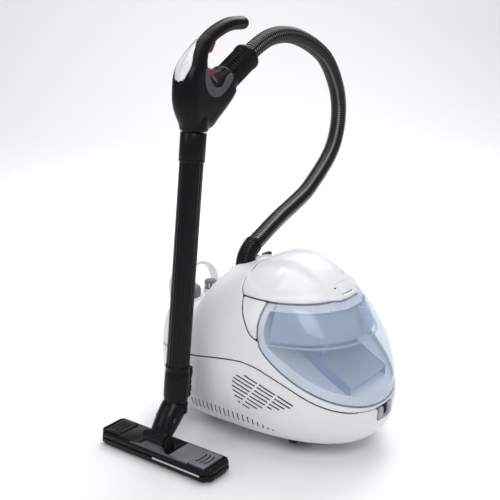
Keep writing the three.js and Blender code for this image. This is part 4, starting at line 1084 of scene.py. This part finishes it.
    # front catch of the tank and the catch of the hood
    catch = (lambda p: np.where((p[:, 1] < -180) & (p[:, 2] < 120),
        np.maximum(np.maximum(np.abs(p[:, 0]) - 21.5, np.abs(p[:, 2] - 95.2) - 11),
        9.5 - np.maximum(np.abs(p[:, 0]), 95 - p[:, 2])), 5.0))
    skin_panel("tank_catch", catch, {"rest": 8, 3: 200}, GREY_PALE, "front_latch", rise=2.2,
        thick=4.4, lip=1.2, drop=1.0, replaces=("tank_latch",), slot="grey")
    press = (lambda p: np.where((p[:, 2] > 250) & (p[:, 1] < -100),
        np.maximum(np.abs(p[:, 0]) - 16.9, np.abs(p[:, 1] + 150.7) - 8.0), 5.0))
    skin_panel("hood_press", press, {"rest": 8, 4: 200, 3: 200}, WHITE, "hood_catch", rise=0.2,
        thick=6, lip=1.0, drop=0.6, replaces=("hood_tab",), slot="grey")


def hood_dots():
    for k, (x, y) in enumerate(((-24, -146), (32, -126))):
        z = top_at(x, y)
        n = outward(np.array([[x, y, z]], float))[0]
        build("hood_dot_%d" % k, *turned([(0, -2.5), (1.7, -2.5), (1.9, 0.2), (1.4, 0.6), (0, 0.6)],
            (x, y, z), tuple(n), 20), BLACK, "hood", slot="black")


def under_pieces():
    for fb, y in (("front", -CASTOR_Y), ("rear", CASTOR_Y)):
        for lr, x in (("left", -CASTOR_X), ("right", CASTOR_X)):
            cy = y + 9
            tread = [(3, -6), (9.5, -6), (11.8, -5.6), (12.6, -4.4), (13, -2), (13, 2), (12.6, 4.4),
                (11.8, 5.6), (9.5, 6), (3, 6), (3, -6)]
            build("tyre_%s_%s" % (fb, lr), *turned(tread, (x, cy, 13), (1, 0, 0), 72), TYRE,
                "wheel_%s_%s" % (fb, lr), ("castor_wheel_%s_%s" % (fb, lr),), "tyre")


tank_inside()
deck_pieces()
hood_dots()
under_pieces()


# ---------------------------------------------------------------- wand
LEAN = math.radians(7.5)
FOOT = (-210.0, 75.0, 100.0)
UP = np.array([math.sin(LEAN), 0, math.cos(LEAN)])
OUT = np.array([math.cos(LEAN), 0, -math.sin(LEAN)])


def wand_at(s, u=0.0, v=0.0):
    p = np.array(FOOT) + UP * s + OUT * u
    p[1] += v
    return tuple(p)


def wand_block(u0, u1, v0, v1, s0, s1):
    verts, faces = block(u0, u1, v0, v1, s0, s1)
    return [wand_at(q[2], q[0], q[1]) for q in verts], faces


def wand_pieces():
    flutes = (lambda a, r,
        h: r - (0.75 * (0.5 + 0.5 * math.cos(20 * a)) ** 0.7 if 20.9 < r < 22 else 0.0))
    build("tube_wall", *turned([(18.2, 0), (21.5, 0), (21.5, 371), (18.2, 371), (18.2, 0)],
        wand_at(CONNECTOR_TOP), UP, 240, flutes), BLACK_SATIN, "canister", ("extension_tube",),
        "black")
    collar = build("tube_collar", *turned([(18.2, 0), (22.4, 0), (23.2, 0.8), (23.4, 3), (23.1, 4),
        (23.1, 6), (23.4, 7), (23.4, 50.4), (22.9, 51.4), (18.2, 51.4), (18.2, 0)],
        wand_at(CONNECTOR_TOP + 371.2), UP, 120), BLACK_SATIN, "canister", slot="black")
    carve(collar, *wand_block(20, 33, -8.4, 8.4, CONNECTOR_TOP + TUBE_LENGTH + 11.6,
        CONNECTOR_TOP + TUBE_LENGTH + 46.4))
    s = 454.4
    moulded("tube_catch_pad", [wand_block(22.5, 26.4, -8, 8, s, s + 34),
        wand_block(24.5, 30.4, -6, 6, s + 19, s + 32)], 0.8, 4, BLACK, "tube_catch",
        ("tube_latch",), "black")
    build("connector_sleeve", *turned([(17, 0.4), (21, 0.4), (21.6, 1.2), (22.6, 10), (23, 13),
        (23, 51), (22.6, 54), (22.4, 55), (22.1, 55.4), (22.1, 65), (22.6, 65.6), (22.9, 66.6),
        (22.9, 69.4), (22.4, 70), (17, 70), (17, 0.4)], wand_at(0), UP, 120), BLACK, "canister",
        ("lower_connector",), "black")
    x = 23.6
    lumps = [wand_block(x, x + 8, -8.6, 8.6, 4, 62), wand_block(x, x + 13.6, -6, 6, 12, 24),
        wand_block(x, x + 10.4, -7, 7, 26, 36), wand_block(x, x + 12.6, -7, 7, 41, 56),
        wand_block(x + 4, x + 13.4, -5, 5, 47, 53)]
    for k, s in enumerate((8, 31, 59)):
        lumps.append(turned([(0, -8), (3.6, -7.4), (3.6, 7.4), (0, 8)], wand_at(s, x + 8, 0),
            (0, 1, 0), 20))
    moulded("steam_coupling", lumps, 0.9, 3, BLACK, "canister", ("steam_latch",), "black")
    # neck: a round barrel that flattens towards the pin, fused with its knuckle
    axis = np.array([-260 + 210.0, 0, 46.0 - 100])
    ln = float(np.linalg.norm(axis))
    axis /= ln
    side = np.array([0.0, 1.0, 0.0])
    face = np.cross(side, axis)
    root = np.array(FOOT) + np.array([0, 0, -4.0])
    verts, seg = [], 48
    rings = [(3.2, 21.5, 21.5), (4.4, 23.2, 23.2), (12, 23.8, 23.8), (30, 23.4, 23.2),
        (ln - 22, 22.4, 19.6), (ln - 10, 22.0, 15.8), (ln, 21.6, 12.4), (ln + 7, 21.0, 9.8),
        (ln + 10, 19.6, 7.5)]
    for at, w, t in rings:
        for k in range(seg):
            a = 2 * math.pi * k / seg
            verts.append(tuple(root + axis * at + side * w * math.cos(a) + face * t * math.sin(a)))
    barrel = (verts, ring_faces(len(rings), seg))
    wedge = turned([(0, -20), (23.2, -20), (23.2, -0.6), (0, -0.6)], wand_at(0), UP, 72)
    knuckle = turned([(0, -22), (11.4, -22), (12.9, -20.5), (12.9, 20.5), (11.4, 22), (0, 22)], PIN,
        (0, 1, 0), 56)
    moulded("neck_barrel", [barrel, knuckle, wedge], 1.1, 5, BLACK_SATIN, "canister", ("neck",),
        "black")
    build("neck_pin", *turned([(0, -29), (4.2, -29), (4.5, -28.6), (4.5, 28.6), (4.2, 29), (0, 29)],
        PIN, (0, 1, 0), 32), BLACK_SATIN, "canister", slot="black")
    for side in (-1, 1):
        build("neck_plug_" + ("left" if side > 0 else "right"),
            *turned([(0, 0), (3.9, 0), (4.3, 0.7), (4.3, 1.8), (3.2, 2.2), (2.4, 1.4), (0, 1.4)],
            (-236, 75 + side * 20.4, 77), (0, side, 0), 28), GREY_DARK, "canister", slot="black")


HANDLE = [(-166, 590), (-172, 604), (-181, 625), (-185, 645), (-184, 671), (-181, 688), (-174, 704),
    (-162, 720), (-143, 737), (-118, 752), (-100, 757), (-92, 747), (-106, 730), (-119, 713),
    (-121, 700), (-104, 688), (-82, 690), (-66, 696), (-42, 650), (-52, 636), (-76, 616),
    (-95, 602), (-112, 590)]
GRIP = [(-128, 722), (-104, 745), (-76, 758), (-43, 766), (-8, 766)]
INSERT = [(-184, 680), (-185, 694), (-180, 707), (-164, 724), (-146, 738), (-123, 753), (-136, 741),
    (-152, 725), (-165, 707), (-175, 692), (-181, 681)]
SADDLE = [(-143, 702), (-147, 678), (-139, 658), (-122, 646), (-100, 646), (-80, 657), (-64, 674),
    (-66, 687), (-80, 682), (-98, 668), (-112, 668), (-126, 682), (-131, 700)]


def closed(points, count):
    """Smooth closed line through the points."""
    pts = list(points)
    line = spline(pts[-3:] + pts + pts[:3], count * 3)
    a = int(np.argmin(np.linalg.norm(line[:count] - np.array(pts[0]), axis=1)))
    b = len(line) - count + int(np.argmin(np.linalg.norm(line[-count:] - np.array(pts[0]), axis=1)))
    run = line[a:b]
    s = np.concatenate([[0], np.cumsum(np.linalg.norm(np.diff(run, axis=0), axis=1))])
    want = np.linspace(0, s[-1], count, endpoint=False)
    return [tuple(q) for q in np.stack([np.interp(want, s, run[:, k]) for k in range(2)], 1)]


def handle_half(x, z, extra=0.0):
    body = 26.6 - 3.0 * ease(640, 592, z) - 9.0 * ease(700, 745, z)
    hollow = 0.6 * np.exp(-((x + 101) ** 2 / 240 + (z - 689) ** 2 / 330))
    return body * (1 - hollow) + extra


def handle_pieces():
    outline = closed(HANDLE, 150)
    body = pillow(outline, handle_half, 21.0)
    bow = spline([(x, 75.0, z) for x, z in GRIP], 50)
    verts = []
    for p, d in zip(bow, np.gradient(bow, axis=0)):
        d = d / np.linalg.norm(d)
        nrm = np.array([-d[2], 0, d[0]])
        for k in range(32):
            a = 2 * math.pi * k / 32
            verts.append(p + np.array([0, GRIP_WIDE,
                0]) * math.cos(a) + nrm * GRIP_THICK * math.sin(a))
    grip = (verts, ring_faces(len(bow), 32))
    tip = turned([(0, -13)] + [(math.cos(t), 12.5 * math.sin(t)) for t in np.linspace(-1.4, 1.4,
        15)] + [(0, 13)], (0, 0, 0), (1, 0, 0), 32)
    tip = ([(bow[-1][0] + q[0], WAND_Y + q[1] * GRIP_WIDE,
        bow[-1][2] + q[2] * GRIP_THICK) for q in tip[0]], tip[1])
    throat = turned([(0, -30), (25.5, -26), (26, -4), (25, 0.2), (0, 0.2)], CUFF_AT, CUFF_DIR, 48)
    stem = turned([(0, 1.6), (24.4, 1.6), (25.6, 4), (26.4, 22), (22, 52), (0, 56)], wand_at(494),
        UP, 56)
    moulded("handle_shell", [body, grip, tip, throat, stem], 1.25, 8, BLACK, "canister",
        ("handle_body",), "black")
    insert = closed(INSERT, 90)
    inside = region(outline)

    def over_body(x, z):
        d = np.clip(-inside(np.stack([0 * x, x, z], 1)) / 21.0, 0, 1)
        return handle_half(x, z) * np.sqrt(np.maximum(1 - (1 - d) ** 2, 0)) + 1.3

    build("handle_cover", *pillow(insert, over_body, 2.5, 1.4), WHITE_GLOSS, "canister",
        ("handle_insert",), "white")
    saddle = closed(SADDLE, 110)
    v, f = pillow(saddle, lambda x, z: handle_half(x, z, 1.5), 5.0, 1.6)
    v = np.array(v)
    m = len(v) // 2
    for name, sign in (("left", -1), ("right", 1)):
        part = [q for q in f if all((i < m) == (sign < 0) for i in q)]
        used = sorted({i for q in part for i in q})
        index = {k: i for i, k in enumerate(used)}
        top = v[used]
        top[:, 1] = 75 + sign * np.maximum(np.abs(top[:, 1] - 75), 14.4)
        under = top.copy()
        under[:, 1] = 75 + sign * np.maximum(np.abs(top[:, 1] - 75) - 3.2, 13.9)
        quads = [tuple(index[i] for i in q) for q in part]
        edges = {(i, j) for q in quads for i, j in zip(q, q[1:] + q[:1])}
        n = len(used)
        faces = quads + [tuple(n + i for i in reversed(q)) for q in quads]
        faces += [(j, i, n + i, n + j) for i, j in edges if (j, i) not in edges]
        build("saddle_" + name, list(top) + list(under), faces, GREY_PIPS, "canister",
            ("saddle_panel_" + name,), "grey")
    lever = closed([(-120, 691), (-116, 696), (-106, 697), (-101, 692), (-102, 682), (-106, 672),
        (-110, 667), (-114, 670), (-119, 680)], 60)
    build("trigger_lever", *pillow(lever, 13.5, 4.0, 1.0), RED, "suction_trigger", ("trigger",),
        "red")
    stud = closed([(-109, 724), (-106, 735), (-99, 742), (-91, 743), (-90, 738), (-94, 731),
        (-99, 724), (-104, 721)], 60)
    build("steam_stud", *pillow(stud, 8.5, 3.0, 1.0), RED, "steam_button", ("grip_button",), "red")
    # corrugated cuff
    prof = [(13, 0), (23.5, 0)]
    ribs = 9
    pitch = 58 / ribs
    for i in range(ribs):
        for t in np.linspace(0, 1, 8, endpoint=False):
            prof.append((21.4 + 3.5 * (0.5 - 0.5 * math.cos(2 * math.pi * t)) ** 0.75,
                2 + (i + t) * pitch))
    prof += [(22, 60), (25.4, 60.8), (26, 61.8), (26, 67), (25.4, 68), (16.4, 68), (13, 68),
        (13, 0)]
    build("cuff_bellows", *turned(prof, CUFF_AT, CUFF_DIR, 80), BLACK_SATIN, "canister",
        ("hose_cuff",), "black", sharp=None)


wand_pieces()
handle_pieces()


# ---------------------------------------------------------------- floor head
HX, HY, HW, HL = -247.0, 76.0, 68.0, 266.0


def head_plan(inset):
    a, b = HW / 2 - inset, HL / 2 - inset
    c, d = 13.0 - 0.4 * inset, 7.0 - 0.4 * inset
    return [(HX + x, HY + y) for x, y in ((-a, -b + c), (-a + c, -b), (a - d, -b), (a, -b + d),
        (a, b - d), (a - d, b), (-a + c, b), (-a, b - c))]


def head_pieces():
    body = "floor_head"
    shell = lofted(head_plan, [(1.4, 8.4), (0.3, 9.2), (0, 10.2), (0, 15.4), (0.6, 16.0),
        (2.6, 16.6), (2.6, 18.4), (0.8, 19.0), (0.4, 19.8), (0.6, 25.0), (1.4, 27.6), (3.2, 29.4),
        (5.0, 30.0)])
    top = build("head_shell", *shell, BLACK, body, ("head_body",), "black", sharp=0.5)
    cut = merged(block(-255, -239, -42, 194, -5, 20), *[block(-277, -219, min(a, b), max(a, b), 27,
        60) for a, b in ((114, 203), (38, -51))])
    carve(top, *cut)
    carve(top, *turned([(0, -22.7), (20.8, -22.7), (20.8, 22.7), (0, 22.7)], PIN, (0, 1, 0), 48))
    bevelled(top, 0.5, 2, 0.6)
    lugs = []
    for s in (-1, 1):
        y0, y1 = sorted((75 + s * 22.6, 75 + s * 29.6))
        lugs.append(turned([(0, y0 - 75), (10.2, y0 - 75), (10.9, y0 - 74.2), (10.9, y1 - 75.8),
            (10.2, y1 - 75), (0, y1 - 75)], PIN, (0, 1, 0), 40))
        lugs.append(block(-270.5, -249.5, y0, y1, 27.5, 45))
    moulded("head_ears", lugs, 0.9, 4, BLACK, body, slot="black")
    # wedge-shaped housing in front of the knuckle, tapering out along the front edge
    rows = []
    for y in np.linspace(-8, 128, 69):
        d = abs(y - 75)
        h = 9.6 * (1 - ease(16, 30, d)) + 1.9 * (1 - ease(30, 78 if y < 75 else 52, d))
        deep = 4.6 + 9.0 * (1 - ease(12, 34, d))
        rows.append([(-279.4, y, 29.0), (-279.2, y, 29.4 + h * 0.7), (-278.2, y, 29.6 + h),
            (-279.4 + deep * 0.55, y, 29.8 + h * 1.05), (-279.4 + deep, y, 29.6 + h * 0.9),
            (-279.4 + deep + 0.6, y, 29.0)])
    verts = [q for r in rows for q in r]
    build("head_nose", verts, ring_faces(len(rows), len(rows[0])), GREY_DARK, body, slot="black",
        sharp=0.6)
    sole = lofted(lambda i: head_plan(i + 3), [(0.6, 5.0), (0, 5.5), (0, 8.0)])
    under = build("head_sole_plate", *sole, BLACK, body, ("head_sole",), "black", sharp=0.5)
    carve(under, *block(-255, -239, -42, 194, -5, 20))
    # flat plates over the head, and the sliding clamps with their curved slots
    for side, name in ((1, "left"), (-1, "right")):
        dark = name == "left"
        # the right plate and clamp take the lighter grey as a painted sheen of reflected light; the
        # left ones stay black
        mat = BLACK if dark else PLATE_SHEEN_GREY
        a, b = HY + side * 38.4, HY + side * 83.6
        bevelled(build("plate_" + name, *block(-276.6, -219.4, min(a, b), max(a, b), 27.4, 30.5),
            mat, body, ("top_plate_" + name,), "black" if dark else "grey"), 0.7, 2)
        a, b = HY + side * 84.4, HY + side * 120
        pad = build("clamp_" + name + "_pad", *block(-275, -221, min(a, b), max(a, b), 27.4, 31.5),
            mat, "clamp_" + name, ("slider_" + name,), "black" if dark else "grey")
        arcs = []
        for k in range(3):
            y = HY + side * (92.5 + k * 9)
            arc = [(-248 + 15.5 * math.sin(t), y + side * (4.2 * math.cos(t) - 1.5),
                31.6) for t in np.linspace(-1.35, 1.35, 15)]
            arcs.append(tube(arc, lambda s, a: 1.5, 10))
        carve(pad, *merged(*arcs))
        # painted shade: dark fill in the bottoms of the curved slots and in the gap between plate
        # and clamp
        slot_shade_fill = [tube([(x, y, 31.0) for x, y, _ in np.array(a[0]).reshape(-1, 10, 3).mean(1)],
            lambda s, a: 1.35, 8) for a in arcs]
        slot_shade_fill.append(block(-275.4, -220.6, *sorted((HY + side * 83.7, HY + side * 85.3)), 27.4,
            31.1))
        build("clamp_" + name + "_slot_shade", *merged(*slot_shade_fill), BLACK_SHADE_FILL, "clamp_" + name,
            slot="black")
        bevelled(pad, 0.5, 2)
    build("trim_strip", *lofted(lambda i: [(-281.4 - (1.6 - i), -40), (-281.4, -40), (-281.4, 70),
        (-281.4 - (1.6 - i), 70)], [(0.8, 15), (0, 15.6), (0, 18.4), (0.8, 19)]), STEEL, body,
        ("head_trim",), "steel", sharp=0.6)
    rng = np.random.default_rng(5)
    for name, dx in (("front", -22), ("rear", 22)):
        parts = [block(HX + dx - 2.8, HX + dx + 2.8, HY - 117, HY + 117, 3.6, 4.6)]
        for y in np.linspace(HY - 115, HY + 115, 93):
            for x in (-1.6, 1.6):
                jx, jy = rng.uniform(-0.5, 0.5, 2)
                parts.append(turned([(0, 0), (1.15, 0), (0.95, 3.8), (0, 3.8)],
                    (HX + dx + x, y, 0.0), (jx * 0.12, jy * 0.12, 1), 7))
        build("tufts_" + name, *merged(*parts), BRISTLE, body, ("bristle_" + name,), "bristle",
            sharp=0.5)


head_pieces()


# ---------------------------------------------------------------- plain CAD nodes keep their shape
def repaint(material, *names):
    for name in names:
        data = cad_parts[name]
        if data.material_slots:
            for s in data.material_slots:
                s.material = material
        else:
            data.data.materials.append(material)


repaint(BLACK, "chassis", "inlet_duct", "fan_housing")
repaint(GREY_DARK, "suction_motor", *["castor_fork_" + a + "_" + b for a in ("front",
    "rear") for b in ("left", "right")])
repaint(ALU, "boiler", "water_pump")
repaint(BOARD, "control_board")
repaint(PAPER, "outlet_filter")


# ---------------------------------------------------------------- studio
def studio():
    g = Graph("studio_floor")
    soft = g.noise(1.2, 2.0)
    floor = g.done(g.principled(Base_Color=g.mix(soft, rgb(0.92, 0.92, 0.92),
        rgb(0.95, 0.95, 0.95)), Roughness=0.62 + g.noise(40.0) * 0.06))
    size, n = 9.0, 40
    verts, faces = [], []
    d = Vector((1411 + 112.3, 1042 + 105.9, 0)).normalized()
    side = Vector((d.y, -d.x, 0))
    for i in range(n + 1):
        t = -5 + 11.5 * i / n
        z = 0.0 if t < 2.6 else 0.32 * (t - 2.6) ** 2
        for j in (-1, 1):
            p = d * t + side * size * j
            verts.append((p.x, p.y, z - 0.0002))
    for i in range(n):
        faces.append((2 * i, 2 * i + 1, 2 * i + 3, 2 * i + 2))
    mesh = bpy.data.meshes.new("floor_sweep")
    mesh.from_pydata(verts, [], faces)
    obj = bpy.data.objects.new("floor_sweep", mesh)
    bpy.context.collection.objects.link(obj)
    mesh.materials.append(floor)
    mesh.shade_smooth()
    world = bpy.data.worlds.new("studio")
    bpy.context.scene.world = world
    world.use_nodes = True
    back = world.node_tree.nodes["Background"]
    back.inputs[0].default_value = (0.93, 0.95, 1.0, 1)
    back.inputs[1].default_value = 0.30
    for name, place, size, power in (("key", (-1.7, -1.7, 2.5), 1.3, 37),
            ("fill", (-2.4, 1.1, 1.7), 1.2, 10), ("rim", (1.9, 0.5, 2.3), 1.4, 26),
            ("over", (0.2, 0.1, 2.9), 2.2, 28), ("wash", (1.4, 1.0, 3.2), 2.0, 60)):
        light = bpy.data.lights.new(name, "AREA")
        light.size = size
        light.energy = power
        lamp = bpy.data.objects.new(name, light)
        bpy.context.collection.objects.link(lamp)
        lamp.location = place
        lamp.rotation_mode = "QUATERNION"
        aim = Vector((3.6, 2.5, 0.6)) if name == "wash" else Vector((0, 0, 0.25))
        lamp.rotation_quaternion = (aim - Vector(place)).to_track_quat("-Z", "Y")
    bpy.context.scene.view_settings.view_transform = "Standard"
    bpy.context.scene.view_settings.exposure = 0.0


studio()
